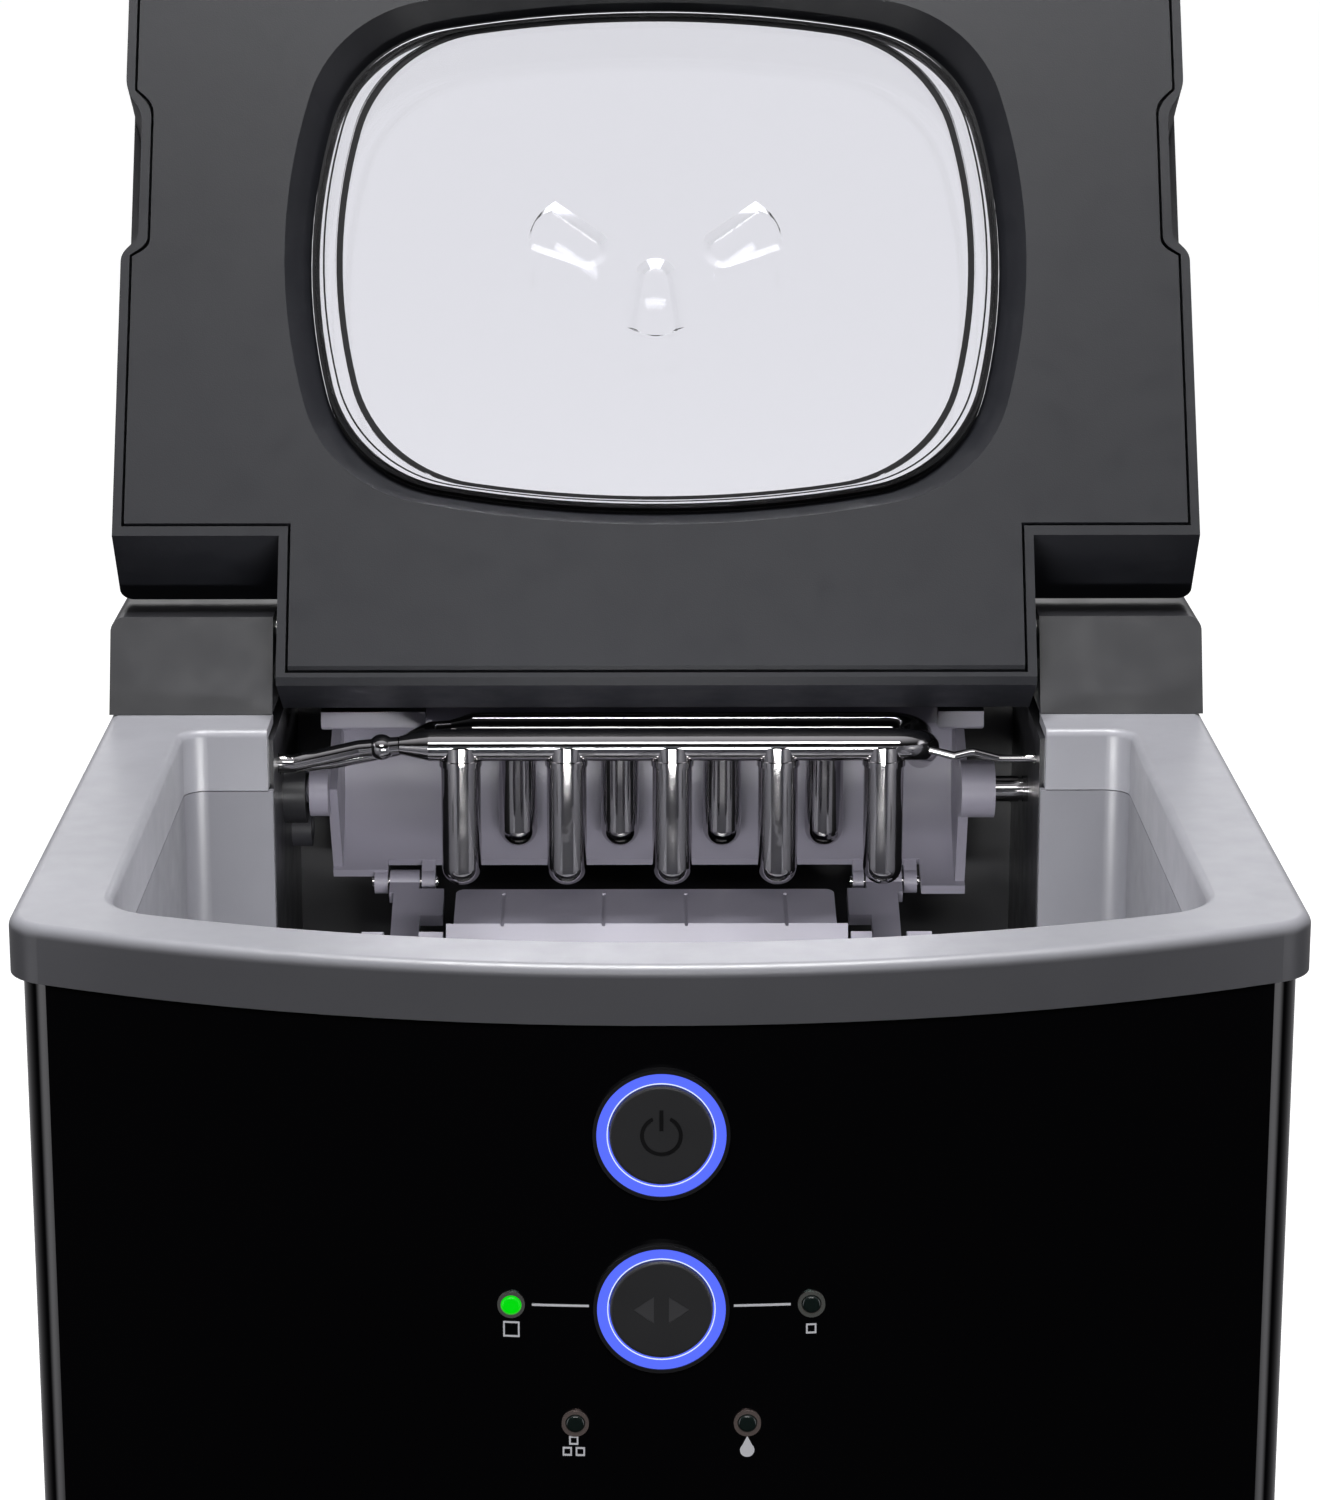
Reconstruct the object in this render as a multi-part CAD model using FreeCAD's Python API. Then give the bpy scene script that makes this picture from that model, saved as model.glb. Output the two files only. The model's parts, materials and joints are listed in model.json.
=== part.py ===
import FreeCAD, Part
import math
import os

# Countertop ice maker with a bowed front, a raised rear deck and a lid that
# stands open.  Millimetres, +Z up, -Y front, origin on the floor under the
# middle of the footprint.

V = FreeCAD.Vector

# ---- overall body ----
COLLAR_HALF = 121.0
COLLAR_TOP = 307.5
COLLAR_HEIGHT = 11.0
DECK_TOP = 328.0
BOW_RADIUS = 275.0
BOW_CENTRE_Y = 96.0
CORNER_RADIUS = 11.0
BODY_REAR = 179.0
CASE_INSET = 2.4
CASE_WALL = 2.2
CASE_BOTTOM = 14.0
BASE_BOTTOM = 8.0
REAR_PANEL_Y = 173.6
EAR_FOOT_Y = 6.0
EAR_RAKE = 7.8
EAR_INNER = 85.0
WELL_REAR = 40.5
SKIN = 2.4
DECK_FALL_Y = 70.0
DECK_REAR = 317.0

# ---- ice bin, evaporator space, water tank ----
BIN_HALF = 103.0
BIN_REAR = -8.0
BIN_FRONT_INSET = 16.0
BIN_FLOOR = 148.0
SPACE_HALF = 84.0
SPACE_REAR = 61.0
TANK_HALF = 96.0
TANK_FLOOR = 62.0
TANK_TOP = 140.0

# ---- lid (drawn closed, then swung open about the hinge line) ----
HINGE_Y = EAR_FOOT_Y + 15.6
HINGE_Z = COLLAR_TOP + 16.3
LID_OPEN_ANGLE = 119.0
LID_UNDER = COLLAR_TOP + 0.5
LID_TOP = DECK_TOP
LID_HALF = 120.4
LID_WALL = 2.0
LID_SHOULDER = EAR_FOOT_Y - 1.0
LID_RAKE = 8.7
TONGUE_HALF = 83.5
TONGUE_END = EAR_FOOT_Y + 33.0
PANEL_GAP = 0.6
NOTCH_FRONT = -109.3
NOTCH_REAR = -64.6
NOTCH_FRONT_RAMP = 11.4
NOTCH_REAR_RAMP = 7.7
NOTCH_DEPTH = 3.9
NOTCH_DEPTH_TOP = 1.6
DIMPLE_CENTRE = 6.3
DIMPLE_LENGTH = 18.5
DIMPLE_PLACES = ((90.0, -5.7), (208.0, 12.6), (332.0, 12.6))
WINDOW_Y = LID_SHOULDER - 67.9
OUTER_WINDOW_HALF = 81.0
OUTER_WINDOW_END = 66.0
HINGE_PIN_R = 2.45
HINGE_BORE_R = 2.5

# ---- tilting water tray and ice shovel ----
TRAY_Y = EAR_FOOT_Y + 17.0
TRAY_Z = COLLAR_TOP - 21.6
TRAY_LEFT = -74.5
TRAY_RIGHT = 71.0
TRAY_INNER_R = 26.0
TRAY_WALL = 2.2
LUG_RADIUS = 29.6
LUG_ANGLE = -61.0
SHOVEL_Y = EAR_FOOT_Y + 11.0
SHOVEL_Z = COLLAR_TOP - 92.0

# ---- evaporator ----
EVAP_CENTRE_X = 3.5
FINGER_PITCH = 23.5
FINGER_R = 4.4
FRONT_ROW_Y = EAR_FOOT_Y + 0.6
REAR_ROW_Y = EAR_FOOT_Y + 32.4
FINGER_TIP = COLLAR_TOP - 39.0
FRONT_BAR_Z = COLLAR_TOP - 7.0
REAR_BAR_Z = COLLAR_TOP - 11.2
BAR_R = 3.6

# ---- control panel ----
POWER_Z = COLLAR_TOP - 32.0
SELECT_Z = COLLAR_TOP - 65.5
STATUS_Z = COLLAR_TOP - 88.5
SIZE_LED_X = 27.4
STATUS_LED_X = 15.8
CAP_R = 9.4
RING_R = 11.7
BEZEL_R = 12.4
LED_R = 1.85
LED_BEZEL_R = 2.5
BOARD_FACE_Y = -167.8
SWITCH_TIP_Y = BOARD_FACE_Y - 2.5

# ---- mains inlet ----
INLET_X = -20.0
INLET_Z0 = 40.1
INLET_Z1 = 60.1

# ---- refrigeration ----
COMPRESSOR_X = 58.0
COMPRESSOR_Y = 122.0
COIL_ROWS = (-100.5, -81.5)
COIL_PITCH = 24.0
COIL_FIRST_Z = 46.0
FAN_Y = 122.0
FAN_Z = 94.0

# ---- pump hose route ----
HOSE_X = -101.2
HOSE_R = 4.6
HOSE_END_Y = EAR_FOOT_Y + 36.0
HOSE_END_Z = TANK_FLOOR + 210.0


# ---------------------------------------------------------------- helpers
def box(x0, x1, y0, y1, z0, z1):
    return Part.makeBox(x1 - x0, y1 - y0, z1 - z0, V(x0, y0, z0))


def bar_x(x0, x1, y, z, radius):
    return Part.makeCylinder(radius, x1 - x0, V(x0, y, z), V(1, 0, 0))


def bar_y(y0, y1, x, z, radius):
    return Part.makeCylinder(radius, y1 - y0, V(x, y0, z), V(0, 1, 0))


def bar_z(z0, z1, x, y, radius):
    return Part.makeCylinder(radius, z1 - z0, V(x, y, z0), V(0, 0, 1))


def prism_x(points, x0, x1):
    corners = [V(x0, y, z) for y, z in points]
    face = Part.Face(Part.makePolygon(corners + [corners[0]]))
    return face.extrude(V(x1 - x0, 0, 0))


def prism_y(points, y0, y1):
    corners = [V(x, y0, z) for x, z in points]
    face = Part.Face(Part.makePolygon(corners + [corners[0]]))
    return face.extrude(V(0, y1 - y0, 0))


def prism_z(points, z0, z1):
    corners = [V(x, y, z0) for x, y in points]
    face = Part.Face(Part.makePolygon(corners + [corners[0]]))
    return face.extrude(V(0, 0, z1 - z0))


def join(pieces):
    whole = pieces[0].multiFuse(pieces[1:]) if len(pieces) > 1 else pieces[0]
    return whole.removeSplitter()


def group(pieces):
    return Part.makeCompound(pieces)


def level_edges(shape, z):
    return [e for e in shape.Edges
            if abs(e.BoundBox.ZMin - z) < 1e-3 and abs(e.BoundBox.ZMax - z) < 1e-3]


def upright_edges(shape):
    return [e for e in shape.Edges
            if e.BoundBox.XLength < 1e-3 and e.BoundBox.YLength < 1e-3]


def arc3(a, b, c):
    return Part.Arc(a, b, c).toShape()


def bend_path(points, bend):
    """Straight runs joined by tangent bends."""
    edges = []
    start = V(*points[0])
    for index in range(1, len(points) - 1):
        corner = V(*points[index])
        back = (V(*points[index - 1]) - corner).normalize()
        ahead = (V(*points[index + 1]) - corner).normalize()
        half = back.getAngle(ahead) / 2.0
        setback = bend / math.tan(half)
        first = corner + back * setback
        last = corner + ahead * setback
        inward = (back + ahead).normalize()
        centre = corner + inward * (bend / math.sin(half))
        middle = centre - inward * bend
        edges.append(Part.makeLine(start, first))
        edges.append(arc3(first, middle, last))
        start = last
    edges.append(Part.makeLine(start, V(*points[-1])))
    return Part.Wire(edges)


def tube(points, radius, bend):
    path = bend_path(points, bend)
    ahead = (V(*points[1]) - V(*points[0])).normalize()
    rim = Part.Wire([Part.makeCircle(radius, V(*points[0]), ahead)])
    return path.makePipeShell([rim], True, False)


def hose(points, radius, wall, bend):
    return tube(points, radius, bend).cut(tube(points, radius - wall, bend))


def bowed_face(inset, z, rear, rear_corner):
    """Plan outline: bowed front, rounded front corners, straight sides."""
    half = COLLAR_HALF - inset
    bow = BOW_RADIUS - inset
    corner = CORNER_RADIUS - inset if inset < 9.0 else 4.0
    cx = half - corner
    cy = BOW_CENTRE_Y - math.sqrt((bow - corner) ** 2 - cx ** 2)
    reach = bow / (bow - corner)
    tx = cx * reach
    ty = BOW_CENTRE_Y + (cy - BOW_CENTRE_Y) * reach
    mid = math.radians(-45.0)
    edges = [
        arc3(V(-tx, ty, z), V(0, BOW_CENTRE_Y - bow, z), V(tx, ty, z)),
        arc3(V(tx, ty, z), V(cx + corner * math.cos(mid), cy + corner * math.sin(mid), z),
             V(half, cy, z)),
        Part.makeLine(V(half, cy, z), V(half, rear - rear_corner, z)),
    ]
    if rear_corner > 0.0:
        turn = rear_corner * (1.0 - math.sqrt(0.5))
        edges.append(arc3(V(half, rear - rear_corner, z), V(half - turn, rear - turn, z),
                          V(half - rear_corner, rear, z)))
    edges.append(Part.makeLine(V(half - rear_corner, rear, z),
                               V(rear_corner - half, rear, z)))
    if rear_corner > 0.0:
        edges.append(arc3(V(rear_corner - half, rear, z), V(turn - half, rear - turn, z),
                          V(-half, rear - rear_corner, z)))
    edges.append(Part.makeLine(V(-half, rear - rear_corner, z), V(-half, cy, z)))
    edges.append(arc3(V(-half, cy, z),
                      V(-cx - corner * math.cos(mid), cy + corner * math.sin(mid), z),
                      V(-tx, ty, z)))
    return Part.Face(Part.Wire(Part.__sortEdges__(edges)))


def bowed_slab(inset, z0, z1, rear, rear_corner):
    return bowed_face(inset, z0, rear, rear_corner).extrude(V(0, 0, z1 - z0))


def front_y(x, inset=CASE_INSET):
    """Y of the casing's bowed front at a given X."""
    return BOW_CENTRE_Y - math.sqrt((BOW_RADIUS - inset) ** 2 - x ** 2)


# ---------------------------------------------------------------- outer body
def base_pan():
    plinth = bowed_slab(CASE_INSET, BASE_BOTTOM, CASE_BOTTOM - 0.2, BODY_REAR - 2.0, 4.0)
    edge = CASE_INSET + CASE_WALL + 0.3
    upstand = bowed_slab(edge, CASE_BOTTOM - 0.2, 26.0, REAR_PANEL_Y - 0.3, 2.0)
    hollow = bowed_slab(edge + 2.4, BASE_BOTTOM + 2.6, 27.0, REAR_PANEL_Y - 2.6, 2.0)
    pan = join([plinth, upstand]).cut(hollow)
    ribs = [box(-110, 110, y, y + 2.0, BASE_BOTTOM + 2.0, 17.0) for y in (-40.0, 62.0)]
    shelf = [bar_z(BASE_BOTTOM + 2.0, 22.0, x, y, 5.0)
             for x in (26.0, 94.0) for y in (92.0, 152.0)]
    pan = join([pan] + ribs + shelf + tank_posts())
    air = [box(-70 + 12 * i, -64 + 12 * i, 70, 86, BASE_BOTTOM - 1, BASE_BOTTOM + 4)
           for i in range(5)]
    return pan.cut(group([bar_z(BASE_BOTTOM - 1, 30, 64.0, -96.0, 13.0)] + air))


def rubber_feet():
    feet = []
    for x in (-94.0, 94.0):
        for y in (-122.0, 150.0):
            foot = bar_z(0.0, BASE_BOTTOM, x, y, 12.0)
            foot = foot.makeFillet(2.0, level_edges(foot, 0.0))
            feet.append(foot.cut(bar_z(-1.0, 3.0, x, y, 4.0)))
    return group(feet)


def louvre_cuts(x0, x1):
    rows = [prism_x([(74.0, z), (160.0, z), (160.0, z + 4.0), (74.0, z + 4.0)], x0, x1)
            for z in range(52, 170, 9)]
    return group(rows)


def front_casing():
    outer = bowed_slab(CASE_INSET, CASE_BOTTOM, COLLAR_TOP - COLLAR_HEIGHT, 190.0, 0.0)
    inner = bowed_slab(CASE_INSET + CASE_WALL, CASE_BOTTOM - 1, COLLAR_TOP, 191.0, 0.0)
    wrap = outer.cut(inner).cut(box(-130, 130, REAR_PANEL_Y, 200, 0, 320))
    holes = [bar_y(-185, -160, 0, z, BEZEL_R) for z in (POWER_Z, SELECT_Z)]
    for x, z in led_places():
        holes.append(bar_y(-185, -160, x, z, LED_BEZEL_R))
    holes.append(louvre_cuts(110, 125))
    holes.append(louvre_cuts(-125, -110))
    return wrap.cut(group(holes))


def rear_panel():
    half = COLLAR_HALF - CASE_INSET
    panel = box(-half, half, REAR_PANEL_Y, REAR_PANEL_Y + 2.6,
                CASE_BOTTOM, COLLAR_TOP - COLLAR_HEIGHT)
    panel = panel.makeFillet(2.0, [e for e in upright_edges(panel)
                                   if e.BoundBox.YMax > REAR_PANEL_Y + 2.0])
    cuts = [box(-96, 96, 170, 180, z, z + 4.0) for z in range(176, 282, 9)]
    mullions = [box(x - 3, x + 3, 170, 180, 170, 286) for x in (-50.0, 0.0, 50.0)]
    openings = group(cuts).cut(group(mullions))
    inlet = box(INLET_X - 13.8, INLET_X + 13.8, 170, 180, INLET_Z0 - 0.1, INLET_Z1 + 0.1)
    screw = [bar_y(170, 180, x, z, 1.7) for x, z in rear_screw_places()]
    return panel.cut(openings).cut(inlet).cut(group(screw))


def rear_screw_places():
    return [(-112.0, 34.0), (112.0, 34.0), (-112.0, 150.0), (112.0, 150.0),
            (-112.0, 286.0), (112.0, 286.0)]


def case_screws():
    screws = []
    for x, z in rear_screw_places():
        head = bar_y(REAR_PANEL_Y + 2.6, REAR_PANEL_Y + 4.4, x, z, 3.2)
        head = head.makeFillet(0.7, [e for e in head.Edges
                                     if abs(e.BoundBox.YMin - REAR_PANEL_Y - 4.4) < 1e-3])
        shank = bar_y(REAR_PANEL_Y - 6.0, REAR_PANEL_Y + 2.6, x, z, 1.6)
        slot = join([box(x - 2, x + 2, 177.2, 179, z - 0.4, z + 0.4),
                     box(x - 0.4, x + 0.4, 177.2, 179, z - 2, z + 2)])
        screws.append(head.fuse(shank).cut(slot))
    return group(screws)


def top_collar():
    bottom = COLLAR_TOP - COLLAR_HEIGHT
    band = bowed_slab(0.0, bottom, COLLAR_TOP, BODY_REAR, 6.0)
    band = band.makeFillet(2.2, level_edges(band, COLLAR_TOP))
    band = band.cut(bowed_slab(SKIN, bottom - 1, COLLAR_TOP - SKIN, BODY_REAR - SKIN, 4.0))
    lip = bin_block(-3.6, bottom - 2.5, COLLAR_TOP - 0.1, 0.0)
    lip = lip.common(box(-200, 200, -200, EAR_FOOT_Y, 0, 400))
    collar = join([band, lip])
    opening = join([bin_block(0.0, bottom - 10, COLLAR_TOP + 5, 0.0),
                    box(-EAR_INNER, EAR_INNER, BIN_REAR - 12, 20, bottom - 10, 320)])
    collar = collar.cut(opening)
    rear = box(-111.5, 111.5, EAR_FOOT_Y + 2.0, BODY_REAR - 9.0, bottom - 10, 320)
    collar = collar.cut(rear)
    rim = [e for e in level_edges(collar, COLLAR_TOP)
           if e.BoundBox.YMax < BIN_REAR + 1.0 and abs(e.BoundBox.XMax) < 104.0
           and abs(e.BoundBox.XMin) < 104.0]
    return collar.makeFillet(1.6, rim)


def bin_block(grow, z0, z1, draft):
    """Solid of the ice-bin opening; grow is negative for a larger block."""
    front = BIN_FRONT_INSET + grow + draft
    half = BIN_HALF - grow - draft
    bow = BOW_RADIUS - front
    corner = 13.0 - grow
    cx = half - corner
    cy = BOW_CENTRE_Y - math.sqrt((bow - corner) ** 2 - cx ** 2)
    reach = bow / (bow - corner)
    tx = cx * reach
    ty = BOW_CENTRE_Y + (cy - BOW_CENTRE_Y) * reach
    rear = BIN_REAR - grow - draft
    diag = corner * math.sqrt(0.5)
    edges = [
        arc3(V(-tx, ty, z0), V(0, BOW_CENTRE_Y - bow, z0), V(tx, ty, z0)),
        arc3(V(tx, ty, z0), V(cx + diag, cy - diag, z0), V(half, cy, z0)),
        Part.makeLine(V(half, cy, z0), V(half, rear, z0)),
        Part.makeLine(V(half, rear, z0), V(-half, rear, z0)),
        Part.makeLine(V(-half, rear, z0), V(-half, cy, z0)),
        arc3(V(-half, cy, z0), V(-cx - diag, cy - diag, z0), V(-tx, ty, z0)),
    ]
    block = Part.Face(Part.Wire(Part.__sortEdges__(edges))).extrude(V(0, 0, z1 - z0))
    back = [e for e in upright_edges(block) if e.BoundBox.YMax > rear - 0.01]
    return block.makeFillet(5.0, back)


def above_deck(drop):
    """Space over the deck, which falls away towards the rear."""
    return prism_x([(DECK_FALL_Y, DECK_TOP - drop), (BODY_REAR + 1, DECK_REAR - drop),
                    (BODY_REAR + 1, DECK_TOP + 5), (DECK_FALL_Y, DECK_TOP + 5)], -130, 130)


def rear_top_cover():
    outer = bowed_slab(0.0, COLLAR_TOP + 0.1, DECK_TOP, BODY_REAR, 6.0).cut(above_deck(0.0))
    rim = [e for e in outer.Edges if e.BoundBox.ZMin > DECK_REAR - 1
           and not (e.BoundBox.YLength < 1e-3 and e.BoundBox.YMax < DECK_FALL_Y + 1)]
    outer = outer.makeFillet(3.0, rim)
    front = [(-300.0, COLLAR_TOP - 1), (EAR_FOOT_Y, COLLAR_TOP - 1),
             (EAR_FOOT_Y, COLLAR_TOP), (EAR_FOOT_Y + EAR_RAKE, DECK_TOP),
             (EAR_FOOT_Y + EAR_RAKE, DECK_TOP + 2), (-300.0, DECK_TOP + 2)]
    outer = outer.cut(prism_x(front, -130, 130))
    well = box(-EAR_INNER, EAR_INNER, -20, WELL_REAR, 290, 340)
    inner = bowed_slab(SKIN, 300, DECK_TOP - SKIN, BODY_REAR - SKIN, 4.0).cut(above_deck(SKIN))
    rake = [(y + SKIN + 0.2, z) for y, z in front]
    inner = inner.cut(prism_x(rake, -130, 130))
    inner = inner.cut(box(-EAR_INNER - SKIN, EAR_INNER + SKIN, -20, WELL_REAR + SKIN, 290, 340))
    cover = outer.cut(well).cut(inner)
    posts = group(board_posts()).cut(above_deck(SKIN / 2.0))
    cover = join([cover] + posts.Solids)
    return cover.cut(bar_x(-95, 95, HINGE_Y, HINGE_Z, HINGE_PIN_R))


def hinge_pins():
    pins = []
    for side in (-1, 1):
        x0, x1 = sorted((side * 77.5, side * 87.4))
        pin = bar_x(x0, x1, HINGE_Y, HINGE_Z, HINGE_PIN_R)
        h0, h1 = sorted((side * 87.4, side * 89.6))
        head = bar_x(h0, h1, HINGE_Y, HINGE_Z, 4.2)
        head = head.cut(box(-95, 95, 0, 40, DECK_TOP - SKIN - 0.2, 340))
        pins.append(pin.fuse(head))
    return group(pins)


# ---------------------------------------------------------------- inner body
def ice_bin_liner():
    top = COLLAR_TOP - COLLAR_HEIGHT - 2.7
    outer = bin_block(-2.4, BIN_FLOOR - 2.4, top, 0.0)
    wall = outer.cut(bin_block(0.0, BIN_FLOOR, top + 1, 0.0))
    wall = wall.cut(bin_block(12.0, BIN_FLOOR - 5, BIN_FLOOR + 5, 0.0))
    mouth = box(-SPACE_HALF, SPACE_HALF, BIN_REAR - 6, BIN_REAR + 10, BIN_FLOOR - 5, 320)
    return wall.cut(mouth)


def evaporator_housing():
    top = COLLAR_TOP - 3.0
    bottom = TANK_TOP + 2.0
    front = BIN_REAR + 3.9
    outer = box(-SPACE_HALF - 2, SPACE_HALF + 2, front, SPACE_REAR + 2, bottom, top)
    inner = box(-SPACE_HALF, SPACE_HALF, front - 5, SPACE_REAR, bottom - 1, top + 1)
    shell = outer.cut(inner)
    roof = box(-SPACE_HALF, SPACE_HALF, WELL_REAR + 0.2, SPACE_REAR, top - 2, top)
    boss_left = bar_x(-84.5, -79.0, TRAY_Y, TRAY_Z, 7.5)
    brackets = []
    for x0, x1 in ((-84.5, -73.5), (67.5, 84.5)):
        ear = bar_x(x0, x1, SHOVEL_Y, SHOVEL_Z, 5.5)
        brackets.append(ear)
    shell = join([shell, roof, boss_left] + brackets)
    bores = [bar_x(-90, -78, TRAY_Y, TRAY_Z, 3.06),
             bar_x(80, 90, TRAY_Y, TRAY_Z, 3.06),
             bar_x(-83.0, -73, SHOVEL_Y, SHOVEL_Z, 2.5),
             bar_x(67, 83.0, SHOVEL_Y, SHOVEL_Z, 2.5),
             bar_x(-90, -82, EAR_FOOT_Y + 2.0, COLLAR_TOP - 11.4, 2.3),
             bar_x(-90, -82, EAR_FOOT_Y + 6.5, COLLAR_TOP - 13.0, 2.3),
             bar_x(80, 90, EAR_FOOT_Y - 0.4, COLLAR_TOP - 10.0, 1.4),
             bar_x(-90, -83, HOSE_END_Y, HOSE_END_Z, HOSE_R + 0.1)]
    return shell.cut(group(bores))


def water_tank():
    outer = box(-TANK_HALF, TANK_HALF, -148, SPACE_REAR - 2, TANK_FLOOR, TANK_TOP)
    outer = outer.makeFillet(8.0, upright_edges(outer))
    inner = box(-TANK_HALF + 2, TANK_HALF - 2, -146, SPACE_REAR - 4, TANK_FLOOR + 2, TANK_TOP + 1)
    inner = inner.makeFillet(6.0, upright_edges(inner))
    tank = outer.cut(inner)
    spout = bar_z(30.0, TANK_FLOOR + 1, 64.0, -96.0, 8.0)
    tank = join([tank, spout])
    hose_notch = box(-98, -92, -92, -58, TANK_TOP - 14, TANK_TOP + 1)
    return tank.cut(group([bar_z(20.0, TANK_FLOOR + 5, 64.0, -96.0, 5.0), hose_notch]))


def tank_posts():
    """Moulded posts the water tank stands on."""
    posts = []
    for x in (-70.0, 70.0):
        for y in (-130.0, 44.0):
            post = box(x - 9, x + 9, y - 8, y + 8, BASE_BOTTOM + 2.6, TANK_FLOOR)
            posts.append(post.cut(box(x - 6.5, x + 6.5, y - 9, y + 5.5, 5, TANK_FLOOR - 3)))
    return posts


def insulation():
    slabs = [box(-115, -106.5, -130, 60, 66, 286), box(106.5, 115, -130, 60, 66, 286),
             box(-96, 96, SPACE_REAR + 2.4, SPACE_REAR + 7.0, 66, 272)]
    return group(slabs)


def drain_fitting():
    ring = bar_z(12.0, 30.0, 64.0, -96.0, 11.0)
    ring = ring.cut(bar_z(5, 40, 64.0, -96.0, 8.0))
    nut = []
    for k in range(6):
        a = math.radians(60 * k + 30)
        nut.append((64.0 + 16.0 * math.cos(a), -96.0 + 16.0 * math.sin(a)))
    nut = prism_z(nut, 14.0, 19.0).cut(bar_z(5, 40, 64.0, -96.0, 11.0))
    return join([ring, nut])


def drain_cap():
    cap = bar_z(3.2, 9.0, 64.0, -96.0, 10.6)
    cap = cap.makeFillet(1.0, level_edges(cap, 3.2))
    flutes = []
    for k in range(18):
        a = math.radians(20 * k)
        flutes.append(bar_z(2, 10, 64.0 + 11.2 * math.cos(a), -96.0 + 11.2 * math.sin(a), 1.1))
    plug = bar_z(9.0, 27.0, 64.0, -96.0, 7.6)
    plug = plug.cut(bar_z(11.0, 28.0, 64.0, -96.0, 5.4))
    return join([cap.cut(group(flutes)), plug])


# ---------------------------------------------------------------- lid
def lid_block(inset, z0, z1, rake_shift):
    """T-shaped lid volume: wide front part plus the narrower rear tongue."""
    half = LID_HALF - inset
    bow = BOW_RADIUS - 1.0 - inset
    corner = 11.0 - inset
    cx = half - corner
    cy = BOW_CENTRE_Y - math.sqrt((bow - corner) ** 2 - cx ** 2)
    reach = bow / (bow - corner)
    tx = cx * reach
    ty = BOW_CENTRE_Y + (cy - BOW_CENTRE_Y) * reach
    rear = 30.0
    diag = corner * math.sqrt(0.5)
    edges = [
        arc3(V(-tx, ty, z0), V(0, BOW_CENTRE_Y - bow, z0), V(tx, ty, z0)),
        arc3(V(tx, ty, z0), V(cx + diag, cy - diag, z0), V(half, cy, z0)),
        Part.makeLine(V(half, cy, z0), V(half, rear, z0)),
        Part.makeLine(V(half, rear, z0), V(-half, rear, z0)),
        Part.makeLine(V(-half, rear, z0), V(-half, cy, z0)),
        arc3(V(-half, cy, z0), V(-cx - diag, cy - diag, z0), V(-tx, ty, z0)),
    ]
    wide = Part.Face(Part.Wire(Part.__sortEdges__(edges))).extrude(V(0, 0, z1 - z0))
    if inset == 0.0:
        wide = wide.makeFillet(3.0, [e for e in level_edges(wide, z1)
                                     if e.BoundBox.YMin < rear - 1.0])
    low = LID_SHOULDER - rake_shift
    slope = LID_RAKE / (LID_TOP - LID_UNDER)
    wedge = [(low - 10 * slope, LID_UNDER - 10), (low + slope * 30.0, LID_UNDER + 30.0),
             (80.0, LID_UNDER + 30.0), (80.0, LID_UNDER - 10)]
    wide = wide.cut(prism_x(wedge, -130, 130))
    reach_back = TONGUE_END - inset
    side = TONGUE_HALF - inset
    chamfer = 1.5
    profile = [(-40.0, z0), (reach_back - chamfer, z0), (reach_back, z0 + chamfer),
               (reach_back, z1), (-40.0, z1)]
    tongue = prism_x(profile, -side, side)
    return wide.fuse(tongue).removeSplitter()


def window_outline(hx, hy, z):
    """Eight-arc rounded window outline centred on the lid window."""
    side_r = 125.0 + hx - 70.2
    end_r = 268.0 + hy - 57.6
    corner = 32.0
    ax = hx - side_r
    by = hy - end_r
    r1 = side_r - corner
    r2 = end_r - corner
    span = math.hypot(ax, by)
    along = (r1 * r1 - r2 * r2 + span * span) / (2 * span)
    off = math.sqrt(r1 * r1 - along * along)
    ux, uy = -ax / span, by / span
    cx = abs(ax + ux * along - uy * off)
    cy = abs(uy * along + ux * off)
    sx = ax + (cx - ax) * side_r / r1
    sy = cy * side_r / r1
    ex = cx * end_r / r2
    ey = by + (cy - by) * end_r / r2
    mx = cx + corner * math.cos(math.atan2(sy - cy + ey - cy, sx - cx + ex - cx))
    my = cy + corner * math.sin(math.atan2(sy - cy + ey - cy, sx - cx + ex - cx))
    y0 = WINDOW_Y
    edges = []
    for qx, qy in ((1, 1), (-1, 1), (-1, -1), (1, -1)):
        edges.append(arc3(V(qx * sx, y0 + qy * sy, z), V(qx * mx, y0 + qy * my, z),
                          V(qx * ex, y0 + qy * ey, z)))
    for q in (1, -1):
        edges.append(arc3(V(-ex, y0 + q * ey, z), V(0, y0 + q * hy, z), V(ex, y0 + q * ey, z)))
        edges.append(arc3(V(q * sx, y0 - sy, z), V(q * hx, y0, z), V(q * sx, y0 + sy, z)))
    return Part.Wire(Part.__sortEdges__(edges))


def window_block(hx, hy, z0, z1):
    return Part.Face(window_outline(hx, hy, z0)).extrude(V(0, 0, z1 - z0))


def window_funnel(hx0, hy0, z0, hx1, hy1, z1):
    return Part.makeLoft([window_outline(hx0, hy0, z0), window_outline(hx1, hy1, z1)], True)


def swung_open(shape):
    turned = shape.copy()
    turned.rotate(V(0, HINGE_Y, HINGE_Z), V(1, 0, 0), -LID_OPEN_ANGLE)
    return turned


def s_curve(x0, y0, x1, y1, z):
    """Ramp that leaves and arrives parallel to Y."""
    middle = (y0 + y1) / 2.0
    curve = Part.BezierCurve()
    curve.setPoles([V(x0, y0, z), V(x0, middle, z), V(x1, middle, z), V(x1, y1, z)])
    return curve.toShape()


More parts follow.
